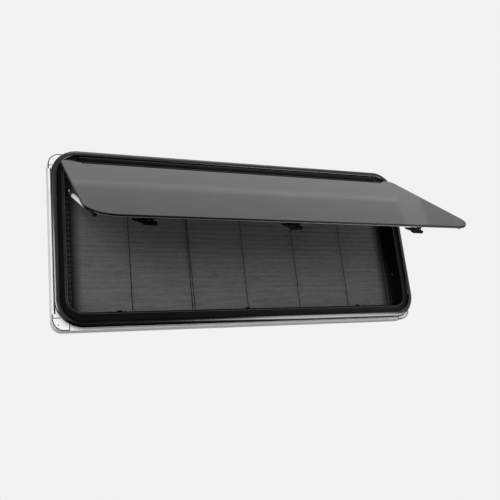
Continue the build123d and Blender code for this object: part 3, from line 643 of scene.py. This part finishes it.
# %% Carry the frame's section round the window
rim_front, channel_floor = -9 * MM, -3 * MM
rim_inside, flange_edge = 11 * MM, frame_overlap
neck_outside, neck_inside, ledge_edge = -2 * MM, -5 * MM, -9 * MM
ledge_back, bead_edge = 6 * MM, -7 * MM
bead_front, bead_back = 27 * MM, 29.5 * MM
groove_low, groove_high, groove_floor = 13 * MM, 25 * MM, -1.5 * MM
rim_crest, fall_foot = rim_inside + 2.5 * MM, -1.2 * MM
fall = np.linspace(0, math.pi / 2, 13)[::-1, None]
fall_width, fall_height = flange_edge - rim_crest, fall_foot - rim_front
rim_fall = np.array([rim_crest, fall_foot]) + np.concatenate(
    [fall_width * np.sin(fall), -fall_height * np.cos(fall)], 1
)
frame_corners = [
    (flange_edge, 0), *rim_fall.tolist(), (rim_inside, rim_front), (rim_inside, channel_floor),
    (ledge_edge, channel_floor), (ledge_edge, ledge_back), (neck_inside, ledge_back),
    (neck_inside, bead_front), (bead_edge, bead_front), (bead_edge, bead_back),
    (neck_inside, bead_back), (neck_inside, frame_back), (neck_outside, frame_back),
    (neck_outside, 0),
    (groove_low, 0), (groove_low, groove_floor), (groove_high, groove_floor), (groove_high, 0),
]
frame_radii = [0] * 14 + [4, 0.8, 0, 0.8, 0, 0, 0.6, 0.6, 0, 0.8, 0.8, 0, 0, 0, 0, 0]
frame_section = rounded_corners(frame_corners, [r * MM for r in frame_radii], steps=7)
outer_frame = window_moulding("frame_moulding", frame_section, "frame", frame_black)
crest_margin = 0.6 * MM
paint_faces(outer_frame, channel_black, outside_cutout(outer_frame) < rim_inside + crest_margin)
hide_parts("outer_frame")
print("frame moulding", frame_section.shape[0], "points round its section")

# %% [markdown]
# ## The lip seal
#
# The pane closes on a rubber lip that rises from the channel towards the opening. Two fine ribs on
# its slope and a rounded tip catch the light as thin lines.

# %% Carry the seal's section round the window
seal_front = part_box("pane_seal")[0].y
lip_tip, lip_base = -5.4 * MM, seal_front + 0.3 * MM
seal_corners = [
    (0, channel_floor), (0, -4 * MM), (-1.6 * MM, -5.3 * MM), (-2.0 * MM, -4.9 * MM),
    (-3.6 * MM, -6.1 * MM), (-4.0 * MM, -5.8 * MM), (lip_tip, lip_base), (ledge_edge, lip_base),
    (ledge_edge, channel_floor),
]
seal_radii = [0, 0.4, 0.3, 0.2, 0.3, 0.2, 0.9, 1.2, 0]
seal_section = rounded_corners(seal_corners, [r * MM for r in seal_radii], steps=4)
pane_seal = window_moulding("lip_seal", seal_section, "frame", seal_rubber)
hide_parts("pane_seal")

# a smoother band along the lip, where the pane presses on it; its lighter grey is a painted
# highlight along the lip's tip
band_edge, band_depth, band_round = -7.8 * MM, 1.4 * MM, 0.6 * MM
band_back = seal_front + band_depth
band_corners = [(lip_tip, band_back), (lip_tip, seal_front)]
band_corners += [(band_edge, seal_front), (band_edge, band_back)]
band_section = rounded_corners(band_corners, [0, band_round, band_round, 0], steps=4)
seal_band = window_moulding("seal_band", band_section, "frame", highlight_band_rubber)
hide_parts("pane_seal")
print("lip seal", seal_section.shape[0], "points and band", band_section.shape[0], "points")

# %% [markdown]
# ## The double pane
#
# Two acrylic sheets are bonded along their rims: a flat one outside and a dished one inside. Each
# is a stack of rounded outlines with the same number of points, joined one to the next, and closed
# by a flat face at each end. A rounded edge is a few outlines that follow an arc.

# %% Lay out the sash's own directions
hinge = np.array([0, hinge_y, hinge_z])
sash_up = np.array([0, math.sin(open_angle), math.cos(open_angle)])
sash_out = np.array([0, -math.cos(open_angle), math.sin(open_angle)])
pane_half_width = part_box("outer_pane")[1].x
rail_half_length = cutout_half_width - cutout_corner_radius
pane_head, pane_foot, foot_round = -31.2 * MM, -458.2 * MM, 72 * MM
ear_rise, ear_width, ear_round, inner_round = 18 * MM, 30 * MM, 22 * MM, 2 * MM
pane_front, pane_joint, pane_back = -2.3 * MM, -6.3 * MM, -9.3 * MM
print("pane half width", round(pane_half_width, 4), "height", round(pane_head - pane_foot, 4))


# %% Helpers for outlines on the sash
def on_sash(path, out):
    """Points (x, v) laid on the sash: hinge + up * v + outward normal * out."""
    return hinge + path[:, :1] * np.array([1, 0, 0]) + path[:, 1:] * sash_up + out * sash_out


def pane_loop(inset, out):
    """The pane's outline: a rounded foot, and past each end of the hinge rail an ear that rises to
    a small-radius corner. It is moved in by `inset` along the outline's own normals."""
    side, ear_z = pane_half_width, pane_head + ear_rise
    right_head = [(side, ear_z), (side - ear_width, ear_z), (rail_half_length, pane_head)]
    left_head = [(-x, v) for x, v in reversed(right_head)]
    corners = [*right_head, *left_head, (-side, pane_foot), (side, pane_foot)]
    radii = [ear_round, *[inner_round] * 4, ear_round, foot_round, foot_round]
    path = rounded_corners(corners, radii, steps=[5] * 6 + [17] * 2)
    ahead = np.roll(path, -1, axis=0) - path
    behind = path - np.roll(path, 1, axis=0)
    along = ahead / np.linalg.norm(ahead, axis=1, keepdims=True)
    along += behind / np.linalg.norm(behind, axis=1, keepdims=True)
    along /= np.linalg.norm(along, axis=1, keepdims=True)
    inward = np.stack([-along[:, 1], along[:, 0]], -1)
    return on_sash(path + inward * inset, out)


def stacked_outlines(name, outlines, body, material, sharp_angle=35):
    """Outlines joined one to the next, with a flat face over the first and the last."""
    points = np.stack(outlines)
    rows, columns = points.shape[:2]
    faces = grid_faces(rows, columns, False, True)
    faces.append(list(range(columns)))
    faces.append(list(range((rows - 1) * columns, rows * columns)))
    return make_piece(name, points, faces, body, material, sharp_angle)


def bent(first, corner, last, steps=6):
    """A quadratic curve from first to last that heads for the corner between them."""
    share = np.linspace(0, 1, steps + 1)[:, None]
    first, corner, last = (np.asarray(point, float) for point in (first, corner, last))
    return (1 - share) ** 2 * first + 2 * share * (1 - share) * corner + share**2 * last


# %% [markdown]
# ## The pane's finish
#
# A tinted acrylic sheet can be made as real glass with light passing through it, but two dark
# sheets let next to nothing through. So it is a dark, very smooth skin. Its reflections bend a
# little, because a drawn sheet is never quite flat. Its sawn edge is duller than its face.


# %% Make the pane's finish
def tinted_acrylic():
    """Dark acrylic: a mirror-smooth skin that waves very slightly, with faint wiping marks."""
    material, tree, shader = finish_start("grey tinted acrylic", roughness=0.05, ior=1.49)
    marks = noise(tree, stretched(tree, (5, 22, 22)), 1.0, 6.0, 0.65)
    tree.links.new(remap(tree, marks, 0.35, 0.8, 0.035, 0.07), shader.inputs["Roughness"])
    colour_under_dust(tree, shader, (0.012, 0.012, 0.0122), 0.03, PALE_DUST)
    waves = noise(tree, stretched(tree, (2.2, 9, 9)), 1.0, 1.0, 0.4)
    bump(tree, shader, waves, 0.5, 0.3 * MM)
    return material


def cut_edge(name, colour, specular):
    """The cut edge of an acrylic sheet: finely sawn and much less of a mirror than its face."""
    material, tree, shader = finish_start(name, roughness=0.45, specular=specular)
    saw = noise(tree, stretched(tree, (900, 60, 60)), 1.0, 2.0, 0.5)
    tree.links.new(remap(tree, saw, 0.3, 0.7, 0.35, 0.55), shader.inputs["Roughness"])
    colour_under_dust(tree, shader, colour, 0.02, PALE_DUST)
    bump(tree, shader, saw, 0.2, 0.01 * MM)
    return material


acrylic = tinted_acrylic()
dark_edge = cut_edge("sawn edge of the outer sheet", (0.0015, 0.0015, 0.0015), 0.04)
# the inner sheet's pale edge is a painted highlight, used only at its foot
painted_highlight_edge = cut_edge("sawn edge of the inner sheet", (0.05, 0.05, 0.049), 0.3)
print("pane finishes:", acrylic.name, "and", dark_edge.name)

# %% Build the outer sheet
edge_round = 0.7 * MM
angle = np.linspace(0, math.pi / 2, 6)
edge_out = pane_front - edge_round * (1 - np.cos(angle))
front_edge = np.stack([edge_round * (1 - np.sin(angle)), edge_out], -1)
outer_loops = [pane_loop(inset, out) for inset, out in front_edge]
outer_loops.append(pane_loop(0, pane_joint))
outer_pane = stacked_outlines("outer_sheet", outer_loops, "sash", acrylic)
paint_faces(outer_pane, dark_edge, np.abs(face_normals(outer_pane) @ sash_out) < 0.8)
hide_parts("outer_pane")
print("outer sheet", len(outer_loops), "outlines")

# %% Build the dished inner sheet
dish_radius, dish_foot_margin = 34 * MM, 52 * MM
dish_right, dish_head = pane_half_width - dish_radius, pane_head - dish_radius
dish_foot = pane_foot + dish_foot_margin
dish_depth, dish_inset, sheet = 12 * MM, 8.4 * MM, pane_joint - pane_back


def dish_loop(inset, out):
    """The rounded outline of the inner sheet's dish, moved in by `inset`."""
    half_width, half_height = dish_right - inset, (dish_head - dish_foot) / 2 - inset
    path, _ = round_rectangle_path(half_width, half_height, dish_radius - inset, steps=17)
    return on_sash(path + (0, (dish_head + dish_foot) / 2), out)


slope = np.array([dish_inset, -dish_depth]) / math.hypot(dish_inset, dish_depth)
mouth, bottom = np.array([0, pane_back]), np.array([dish_inset, pane_back - dish_depth])
bend_reach = 4.5 * MM
dish_side = np.concatenate([
    bent(mouth - (bend_reach, 0), mouth, mouth + slope * bend_reach),
    bent(bottom - slope * bend_reach, bottom, bottom + (bend_reach, 0)),
])
inner_loops = [
    dish_loop(dish_inset + sheet / 2, pane_joint - dish_depth),
    dish_loop(sheet / 2, pane_joint),
    pane_loop(0, pane_joint),
    pane_loop(0, pane_joint - sheet / 3),
    pane_loop(0, pane_back + sheet / 4),
    pane_loop(sheet / 4, pane_back),
]
inner_loops += [dish_loop(inset, out) for inset, out in dish_side]
inner_pane = stacked_outlines("inner_sheet", inner_loops, "sash", acrylic)

# the sheet's rim is dark, and pale at the foot, where it looks down: the pale foot is a painted
# highlight
inner_normals = face_normals(inner_pane)
ring = np.arange(len(inner_normals)) // len(inner_loops[0])
at_foot = (ring > 2) & (ring < 5) & (inner_normals @ sash_up < -0.7)
at_rim = (ring > 1) & (ring < 5) & ~at_foot
paint_faces(inner_pane, painted_highlight_edge, at_foot)
paint_faces(inner_pane, dark_edge, at_rim)
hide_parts("inner_pane")
print("inner sheet", len(inner_loops), "outlines,", int(at_foot.sum()), "pale faces at its foot")

# %% [markdown]
# ## The pleated blind
#
# The blind is one long cloth folded into pleats, with a stiff coating that keeps the folds. A cloth
# simulation would have to be told where to fold, so the folds are written down instead: the depth
# swings from side to side once per pleat, and small slow waves make each pleat a little different
# from the next.


# %% Fold the cloth
def folded_cloth(low, high, fold_count, swing, steps_per_fold=4, columns=141):
    """A point grid, with rows up the folds f and columns across x. The depth is the middle plus
    swing * arcsin(0.9 cos(pi f)) / arcsin(0.9), a triangle wave with soft tips. The height rises
    evenly with f. Both get a little of a slow wave, the sum of two sines of x and the pleat's
    number, which makes each pleat differ from the next."""
    softness, wave_height = 0.9, 0.55 * MM
    fold = np.linspace(0, fold_count, fold_count * steps_per_fold + 1)[:, None]
    across = np.linspace(low.x, high.x, columns)[None]
    pleat = np.round(fold / 2)
    slow_wave = np.sin(across * 9.1 + pleat * 1.7) + 0.6 * np.sin(across * 23.7 - pleat * 2.9)
    uneven = 1 + 0.35 * np.sin(pleat * 2.3) + 0.2 * slow_wave
    soft_triangle = np.arcsin(softness * np.cos(math.pi * fold)) / math.asin(softness)
    depth = (low.y + high.y) / 2 + swing * soft_triangle * uneven
    lift = wave_height * slow_wave * np.sin(math.pi * fold / fold_count)
    height = low.z + (high.z - low.z) * fold / fold_count + lift
    return np.stack(np.broadcast_arrays(across, depth, height), -1)


cloth_low, cloth_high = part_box("blackout_pleats")
pleat_pitch, cloth_skin, swing_share = 15.3 * MM, 0.7 * MM, 0.04
folds = 2 * round((cloth_high.z - cloth_low.z) / pleat_pitch)
cloth_swing = swing_share * (cloth_high.y - cloth_low.y)
cloth_points = folded_cloth(cloth_low, cloth_high, folds, cloth_swing)
print("cloth with", folds, "folds and", cloth_points.shape[0] * cloth_points.shape[1], "points")

# %% [markdown]
# ## The blind's cloth
#
# The cloth is a grey weave with a coating that keeps the light out. Each thread could be a strand
# of its own, but from here only fine uneven lines show, so noise stretched along the threads gives
# both the lines and the relief. Towards its sides the shade of the reveal is painted into the
# cloth's colour, and its last strip, which shows through the slots of the guides, is painted
# lighter again, as it gets more light there.


# %% Colour and hang the cloth
def coated_cloth(guide_edge, fade=29 * MM):
    """Grey coated blind cloth: a woven grid in its relief, and threads that differ a little in
    shade. Its colour falls to nearly black over `fade` towards the guides, a painted shade of the
    reveal, and is painted lighter again past `guide_edge`, the distance from the middle at which
    the guides begin."""
    material, tree, shader = finish_start("pleated blind cloth", roughness=0.85, specular=0.2)
    shader.inputs["Sheen Weight"].default_value = 0.05
    weft = noise(tree, stretched(tree, (38, 200, 300)), 1.0, 4.0, 0.75)
    bands = noise(tree, stretched(tree, (7, 20, 95)), 1.0, 3.0, 0.6)
    warp = noise(tree, stretched(tree, (330, 200, 45)), 1.0, 2.0, 0.6)
    weave = calculate(tree, "ADD", calculate(tree, "MULTIPLY", weft, 1.6), bands)
    weave = calculate(tree, "ADD", weave, calculate(tree, "MULTIPLY", warp, 0.5))
    slubs = remap(tree, weave, 1.1, 2.0, 0.0, 1.0)
    thread = blend_colours(tree, slubs, (0.0435, 0.0435, 0.044), (0.092, 0.092, 0.092))
    film = use_effect(tree, dusty, amount=0.06)
    dusted = blend_colours(tree, film["Mask"], thread, (0.17, 0.17, 0.165))
    sideways = tree.nodes.new("ShaderNodeSeparateXYZ")
    tree.links.new(stretched(tree, (1, 1, 1)), sideways.inputs[0])
    off_middle = calculate(tree, "ABSOLUTE", sideways.outputs["X"], 0.0)
    # painted shade: the colour darkens towards the guides, and the strip past the guide's edge is
    # painted lighter
    painted_shade_near_end = remap(tree, off_middle, guide_edge - fade, guide_edge + 1 * MM, 0, 1)
    painted_light_behind_guide = remap(tree, off_middle, guide_edge - 0.5 * MM, guide_edge + 0.5 * MM, 0, 0.55)
    shadow = calculate(tree, "SUBTRACT", painted_shade_near_end, painted_light_behind_guide)
    shaded = blend_colours(tree, shadow, dusted, (0.002, 0.002, 0.002))
    tree.links.new(shaded, shader.inputs["Base Color"])
    bump(tree, shader, weave, 0.4, 0.2 * MM)
    return material


under_guide = 15 * MM
cloth_finish = coated_cloth(cloth_high.x - under_guide)
cloth_faces = grid_faces(*cloth_points.shape[:2], False, False)
blind = make_piece("pleated_blind", cloth_points, cloth_faces, "frame", cloth_finish, 60)
solid = blind.modifiers.new("cloth thickness", "SOLIDIFY")
solid.thickness, solid.offset = cloth_skin, 0
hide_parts("blackout_pleats")
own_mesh(blind)

# %% [markdown]
# ## The blind's cords
#
# Five thin cords are stretched straight down in front of the cloth and guide the pull bar. A cord
# is two twisted plies. Each could be its own helix, but so thin a cord shows only its twist, so one
# oval section that turns as it goes up does it with one array. The second cord has a spare run
# beside it that spreads towards the bottom.


# %% Stretch the cords
cords_low, cords_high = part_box("blind_cords")
cord_count, cord_radius = 5, 0.5 * (cords_high.y - cords_low.y)
cord_reach, cord_twist, spare_spread = 1.35 * cord_radius, 12 * MM, 7.5 * MM
cord_y = (cords_low.y + cords_high.y) / 2


def twisted_cord(name, foot_x, head_x, rows=90):
    """A cord between the cassettes, from foot_x to head_x. At the height share h, its section's
    radius at the angle a is reach * (0.84 + 0.16 cos(2 (a - spin))), and the spin grows by a full
    turn every cord_twist metres."""
    foot = np.array([foot_x, cord_y, cords_low.z])
    head = np.array([head_x, cord_y, cords_high.z])
    share = np.linspace(0, 1, rows)[:, None]
    around = np.linspace(0, 2 * math.pi, 13)[None, :-1]
    spin = 2 * math.pi * share * np.linalg.norm(head - foot) / cord_twist
    radius = cord_reach * (0.84 + 0.16 * np.cos(2 * (around - spin)))
    centre = foot + share[:, :, None] * (head - foot)
    offset = np.stack([radius * np.cos(around), radius * np.sin(around), np.zeros_like(radius)], -1)
    faces = grid_faces(*offset.shape[:2], False, True)
    cord = make_piece(name, centre + offset, faces, "frame", cord_black, sharp_angle=80)
    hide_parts("blind_cords")


cord_places = np.linspace(cords_low.x + cord_radius, cords_high.x - cord_radius, cord_count)
for number, cord_x in enumerate(cord_places):
    twisted_cord(f"cord_{number + 1}", cord_x, cord_x)
twisted_cord("cord_2_spare", cord_places[1] + spare_spread, cord_places[1] + 2 * cord_radius)
print("cords at", np.round(cord_places, 3))

# %% [markdown]
# ## Small parts and bars
#
# Levers, brackets and bars already have their right shape in the construction model, but its edges
# are knife sharp, and nothing real is. A copy of each is cleaned into larger faces, and a Bevel
# modifier rounds its edges, so they catch thin lines of light.


# %% Helpers for parts with rounded edges
def round_edges(piece, radius, least_angle):
    """A Bevel modifier that rounds all edges whose faces meet at more than an angle in degrees."""
    rounding = piece.modifiers.new("rounded edges", "BEVEL")
    rounding.width, rounding.segments = radius, 2
    rounding.limit_method, rounding.angle_limit = "ANGLE", math.radians(least_angle)


def body_of(name):
    """The body that carries a construction node."""
    return nodes[name].parent.name.removeprefix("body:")


def softened(name, radius, material):
    """A copy of a construction node with merged points, joined flat faces and rounded edges."""
    mesh = nodes[name].data.copy()
    shell = bmesh.new()
    shell.from_mesh(mesh)
    bmesh.ops.remove_doubles(shell, verts=shell.verts, dist=1e-6)
    flat = math.radians(1)
    bmesh.ops.dissolve_limit(shell, angle_limit=flat, verts=shell.verts, edges=shell.edges)
    shell.to_mesh(mesh)
    shell.free()
    piece = bpy.data.objects.new(f"{name}_finished", mesh)
    scene.collection.objects.link(piece)
    round_edges(piece, radius, 50)
    finish_piece(piece, body_of(name), material, sharp_angle=40)
    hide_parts(name)


# %% Soften the edges of construction parts
# the start of the nodes' names: the rounding in millimetres, the finish and its slot
finishes = {
    "hinge_rail_": (0.2, rail_black, "rail_black"),
    "hinge_end_stops": (0.4, small_black, "small_parts_black"),
    "latch_base_": (0.7, small_black, "small_parts_black"),
    "latch_pins": (0.8, small_black, "small_parts_black"),
    "striker_": (0.6, small_black, "small_parts_black"),
    "stay_bracket_": (0.35, small_black, "small_parts_black"),
    "stay_end_": (0.35, small_black, "small_parts_black"),
    "stay_collar_": (0.4, small_black, "small_parts_black"),
    "inner_frame_": (1.2, clamp_white, "clamp_white"),
    "inner_corner_": (1.2, corner_grey, "corner_grey"),
    "blind_cassette_": (0.4, guide_dark, "guide_plastic"),
    "blind_guide_": (0.3, guide_dark, "guide_plastic"),
    "blind_pull_bar": (0.5, blind_aluminium, "blind_aluminium"),
    "blind_bar_shoes": (0.5, small_black, "small_parts_black"),
}
for start, (radius, material, slot_name) in finishes.items():
    matching = [name for name in nodes if name.startswith(start)]
    for name in matching:
        softened(name, radius * MM, material)
    print(start, len(matching), "softened")

# %% [markdown]
# ## The latch levers
#
# A lever is a flat plate on its pin, with a shoulder beside the hub and a handle that bends back
# towards the pane. It could be cut from a softened copy, but the bend would be lost. So its outline
# is drawn from the side, as distances along the sash and in depth, and pushed out across the
# lever's width, which tapers towards the handle's tip. Behind each striker a small stop stands on
# the neck's floor and keeps the lever's nose from sliding too far.


# %% Shape the levers and the stops behind the strikers
def between_outlines(name, first, last, body, replaced, rounding):
    """A black solid between two outlines with the same number of points, its edges rounded."""
    piece = stacked_outlines(name, [first, last], body, small_black, sharp_angle=40)
    round_edges(piece, rounding, 30)
    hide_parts(replaced)


def beside_pivot(pivot, outline, shift):
    """Outline points (along, out) at a latch's pivot, shifted up the sash by `shift`."""
    along_x = (pivot[0] + outline[:, :1]) * np.array([1, 0, 0])
    up_sash = ((pivot - hinge) @ sash_up + shift[:, None]) * sash_up
    return hinge + along_x + up_sash + outline[:, 1:] * sash_out


lever_outline = np.array([
    (-46, -22.6), (-46, -25.4), (-23, -31.5), (-19, -36), (-15, -36.5), (14.5, -36.5),
    (14.5, -28.7), (-8.5, -28.7), (-8.5, -21.6), (-20, -21.6), (-31, -22.6),
]) * MM
hub_half_width, tip_half_width = 6 * MM, 4 * MM
to_tip = np.clip(lever_outline[:, 0] / lever_outline[:, 0].min(), 0, 1)
lever_half_widths = hub_half_width + (tip_half_width - hub_half_width) * to_tip
stop_shape = np.array([(-1, 0), (-0.8, 0.92), (-0.4, 1), (0.75, 1), (1, 0)])
stop_half_length, stop_half_depth, stop_above_striker = 10 * MM, 1.2 * MM, 6.6 * MM
stop_y = ledge_back + 17.5 * MM
stop_foot = -cutout_half_height - neck_inside - 0.5 * MM
for side in ("left", "centre", "right"):
    pivot = np.array(joints[f"latch_{side}"]["pos_m"])
    lever = f"latch_lever_{side}"
    sides = [beside_pivot(pivot, lever_outline, sign * lever_half_widths) for sign in (-1, 1)]
    between_outlines(f"{lever}_finished", *sides, lever, lever, 0.6 * MM)
    low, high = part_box(f"striker_{side}")
    stop_height = high.z + stop_above_striker - stop_foot
    upright = stop_shape * (stop_half_length, stop_height) + ((low.x + high.x) / 2, stop_foot)
    sides = [np.insert(upright, 1, stop_y + sign * stop_half_depth, axis=1) for sign in (-1, 1)]
    between_outlines(f"striker_stop_{side}", *sides, "frame", f"striker_{side}", 0.5 * MM)
print("levers", len(lever_outline), "points, stops", len(stop_shape), "points in their outlines")

# %% [markdown]
# ## Sleeves and skins on the stay tubes
#
# The lower end of each stay tube sits in a black sleeve, and the rest of the tube is bright. Both
# are hollow, because the stay's rod slides inside them when the sash closes. The tube's own mesh
# tells where it lies: its longest direction, found by a singular value decomposition of its points,
# is the axis. Each piece is a closed section turned round that axis.


# %% Slip a sleeve and a skin over each stay tube
def tube_axis(mesh):
    """The middle, the downward axis, half the length and the radius of a round bar's mesh."""
    points = np.zeros(len(mesh.vertices) * 3)
    mesh.vertices.foreach_get("co", points)
    points = points.reshape(-1, 3)
    middle = (points.min(0) + points.max(0)) / 2
    longest = np.linalg.svd(points - middle, full_matrices=False)[2][0]
    axis = -longest * np.sign(longest[2])
    half_length = ((points - middle) @ axis).max()
    radius = np.linalg.norm(np.cross(points - middle, axis), axis=1).max()
    return middle, axis, half_length, radius


def turned(middle, axis, section, count=32):
    """A point grid: section points (along, radius) turned round an axis. At the angle a a point
    lies at middle + along * axis + radius * (cos a * X + sin a * (axis x X))."""
    around = np.linspace(0, 2 * math.pi, count + 1)[:-1, None]
    across = np.cos(around) * np.array([1, 0, 0]) + np.sin(around) * np.cross(axis, (1, 0, 0))
    section = np.asarray(section)
    return middle + section[:, :1, None] * axis + section[:, 1:, None] * across


sleeve_length, sleeve_wall, sleeve_round, end_round = 97 * MM, 0.5 * MM, 0.4 * MM, 0.5 * MM
skin_wall = 0.3 * MM
for side in ("left", "right"):
    tube = f"stay_tube_{side}"
    middle, axis, reach, radius = tube_axis(nodes[tube].data)
    sleeve_start, inside = reach - sleeve_length, radius - sleeve_wall
    outside, skin = radius + sleeve_wall, radius + skin_wall
    sleeve_section = [
        (sleeve_start, outside - sleeve_round), (sleeve_start + sleeve_round, outside),
        (reach - end_round, outside), (reach, outside - end_round), (reach, inside),
        (sleeve_start, inside),
    ]
    skin_section = [
        (-reach, skin - sleeve_round), (-reach + sleeve_round, skin), (sleeve_start, skin),
        (sleeve_start, inside), (-reach, inside),
    ]
    for name, section, material, slot_name in (
        (f"sleeve_{side}", sleeve_section, small_black, "small_parts_black"),
        (f"tube_cover_{side}", skin_section, stay_aluminium, "stay_aluminium"),
    ):
        points = turned(middle, axis, section)
        faces = grid_faces(*points.shape[:2], True, True)
        piece = make_piece(name, points, faces, body_of(tube), material)
        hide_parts(tube)
    print(tube, "radius", round(radius, 4), "length", round(2 * reach, 4))

# %% [markdown]
# ## Marks on the clamp frame
#
# Along each side bar a black strip stands for the shaded inside of the bar's open channel: a
# painted shade. Each corner piece has a raised bead round its outer edge, dark grey as a painted
# shade of the rounded edge, and a dark joint where it meets the bars. The marks could be painted,
# but then they would have no edge to catch the light. So they are thin pieces that lie on the
# frame's front, a little proud of it.


# %% Lay strips of painted shade and joint marks on the clamp frame
def flat_strip(name, line, width, front, replaced, material):
    """A thin strip along a line between two (x, z) points: a box that is `width` wide across the
    line and stands a little proud of the front face."""
    start, end = np.asarray(line, float)
    along = (end - start) / np.linalg.norm(end - start)
    aside = np.array([-along[1], along[0]]) * width / 2
    ring = np.array([start + aside, start - aside, end - aside, end + aside])
    proud = 0.4 * MM
    layers = [np.insert(ring, 1, depth, axis=1) for depth in (front - proud, front + proud)]
    strip = stacked_outlines(name, layers, "frame", material)
    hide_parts(replaced)


clamp_x, clamp_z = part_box("inner_frame_right")[1].x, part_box("inner_frame_top")[1].z
clamp_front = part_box("inner_frame_left")[0].y
corner_radius, bead_length, bead_width, bead_proud = 32 * MM, 46 * MM, 2.4 * MM, 0.5 * MM
side_joint, long_joint, joint_reach, joint_width = 35 * MM, 45 * MM, 22 * MM, 2.2 * MM
shade_strip_inset, shade_strip_width, shade_strip_end = 7 * MM, 4 * MM, clamp_z - bead_length
for side, sign_x in (("left", -1), ("right", 1)):
    # a black strip of painted shade, where the bar's open channel lies in shadow
    shade_strip_x = sign_x * (clamp_x - shade_strip_inset)
    shade_strip_line = ((shade_strip_x, -shade_strip_end), (shade_strip_x, shade_strip_end))
    bar = f"inner_frame_{side}"
    flat_strip(f"foam_{side}", shade_strip_line, shade_strip_width, clamp_front, bar, shade_strip_black)
    for level, sign_z in (("bottom", -1), ("top", 1)):
        corner = f"inner_corner_{level}_{side}"
        joint_z, joint_x = sign_z * (clamp_z - side_joint), sign_x * (clamp_x - long_joint)
        lines = {
            "side": ((sign_x * clamp_x, joint_z), (sign_x * (clamp_x - joint_reach), joint_z)),
            "long": ((joint_x, sign_z * clamp_z), (joint_x, sign_z * (clamp_z - joint_reach))),
        }
        for which, line in lines.items():
            mark = f"joint_{which}_{level}_{side}"
            flat_strip(mark, line, joint_width, clamp_front, corner, joint_grey_and_edge_shade)
print("painted shade strips", round(2 * shade_strip_end, 3), "m long on the sides")


# %% Raise a bead round each corner piece
def corner_bead(name, sign_x, sign_z, replaced):
    """A flat band round one corner: a straight end, a quarter circle and a straight end, with the
    section of a thin box. Along the arc the inner line is the outer one moved in along (cos a, sin
    a). Its dark grey is a painted shade of the corner's rounded edge."""
    turn = np.linspace(0, math.pi / 2, 13)
    arc = np.stack([np.cos(turn), np.sin(turn)], -1)
    centre = np.array([clamp_x, clamp_z]) - corner_radius
    ends = [(clamp_x, clamp_z - bead_length), (clamp_x - bead_length, clamp_z)]
    outer = np.concatenate([ends[:1], centre + corner_radius * arc, ends[1:]])
    inner = outer - np.concatenate([[(1, 0)], arc, [(0, 1)]]) * bead_width
    back, front = clamp_front + bead_proud, clamp_front - bead_proud
    section = ((outer, back), (outer, front), (inner, front), (inner, back))
    lines = [np.insert(line * (sign_x, sign_z), 1, depth, axis=1) for line, depth in section]
    # the bead's dark grey is a painted shade along the corner's rounded outer edge
    bead = stacked_outlines(name, np.stack(lines, 1), "frame", joint_grey_and_edge_shade)
    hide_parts(replaced)


for side, sign_x in (("left", -1), ("right", 1)):
    for level, sign_z in (("bottom", -1), ("top", 1)):
        corner_bead(f"bead_{level}_{side}", sign_x, sign_z, f"inner_corner_{level}_{side}")
print("beads", round(bead_length, 3), "m from the corners")

# %% [markdown]
# ## Drain plugs and a strip of painted shade
#
# Water that gets into the frame leaves through four drain holes in the rim, and dark plugs sit in
# them. A black strip in front of the lower cassette covers the foot of the cloth; it stands for the
# cloth's shadow there, a painted shade. Both are so small that a disc and a strip are enough.

# %% Close the drain holes
drain_low, drain_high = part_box("drain_plugs")
drain_radius, drain_count = (drain_high.z - drain_low.z) / 2, 4
drain_rise, drain_proud, drain_depth = 0.8 * MM, 0.2 * MM, 2 * MM
drain_z = (drain_low.z + drain_high.z) / 2 + drain_rise
turn = np.linspace(0, 2 * math.pi, 25)[:-1, None]
circle = np.concatenate([np.cos(turn), 0 * turn, np.sin(turn)], 1) * drain_radius
drain_places = np.linspace(drain_low.x + drain_radius, drain_high.x - drain_radius, drain_count)
for number, drain_x in enumerate(drain_places):
    depths = (rim_front - drain_proud, rim_front + drain_depth)
    discs = [circle + (drain_x, depth, drain_z) for depth in depths]
    plug = stacked_outlines(f"drain_plug_{number + 1}", discs, "frame", seal_rubber)
    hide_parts("drain_plugs")
print("drain plugs at", np.round(drain_places, 3))

# %% Lay a strip of painted shade at the foot of the cloth
# seen from the camera, the strip's top lies just above the inner edge of the seal's band; the black
# strip is the cloth's shadow at its foot, painted
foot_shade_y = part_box("blind_cords")[0].y - 1.5 * MM
view_rise, foot_shade_above_seal, foot_shade_width = 0.1875, 3.2 * MM, 6 * MM
foot_shade_top = -cutout_half_height - band_edge + view_rise * (foot_shade_y - seal_front) + foot_shade_above_seal
foot_shade_half, foot_shade_z = cutout_half_width - 8 * MM, foot_shade_top - foot_shade_width / 2
foot_shade_line = ((-foot_shade_half, foot_shade_z), (foot_shade_half, foot_shade_z))
cassette_node = "blind_cassette_bottom"
flat_strip("cassette_lip", foot_shade_line, foot_shade_width, foot_shade_y, cassette_node, small_black)
print("painted foot shade strip at", round(foot_shade_z, 4))

# %% [markdown]
# ## What is left
#
# A few nodes keep their construction mesh: round rods, screws and the hidden seal need no softer
# edge. They only get a finish.

# %% Give the remaining nodes their finishes
plain_finishes = {
    "wall_seal": seal_rubber, "stay_rod_left": bright_steel, "stay_rod_right": bright_steel,
    "stay_screws": bright_steel, "clamp_screws": bright_steel, "corner_screws": bright_steel,
}
for name, material in plain_finishes.items():
    nodes[name].data.materials.clear()
    nodes[name].data.materials.append(material)
print(len(plain_finishes), "nodes keep their own mesh")
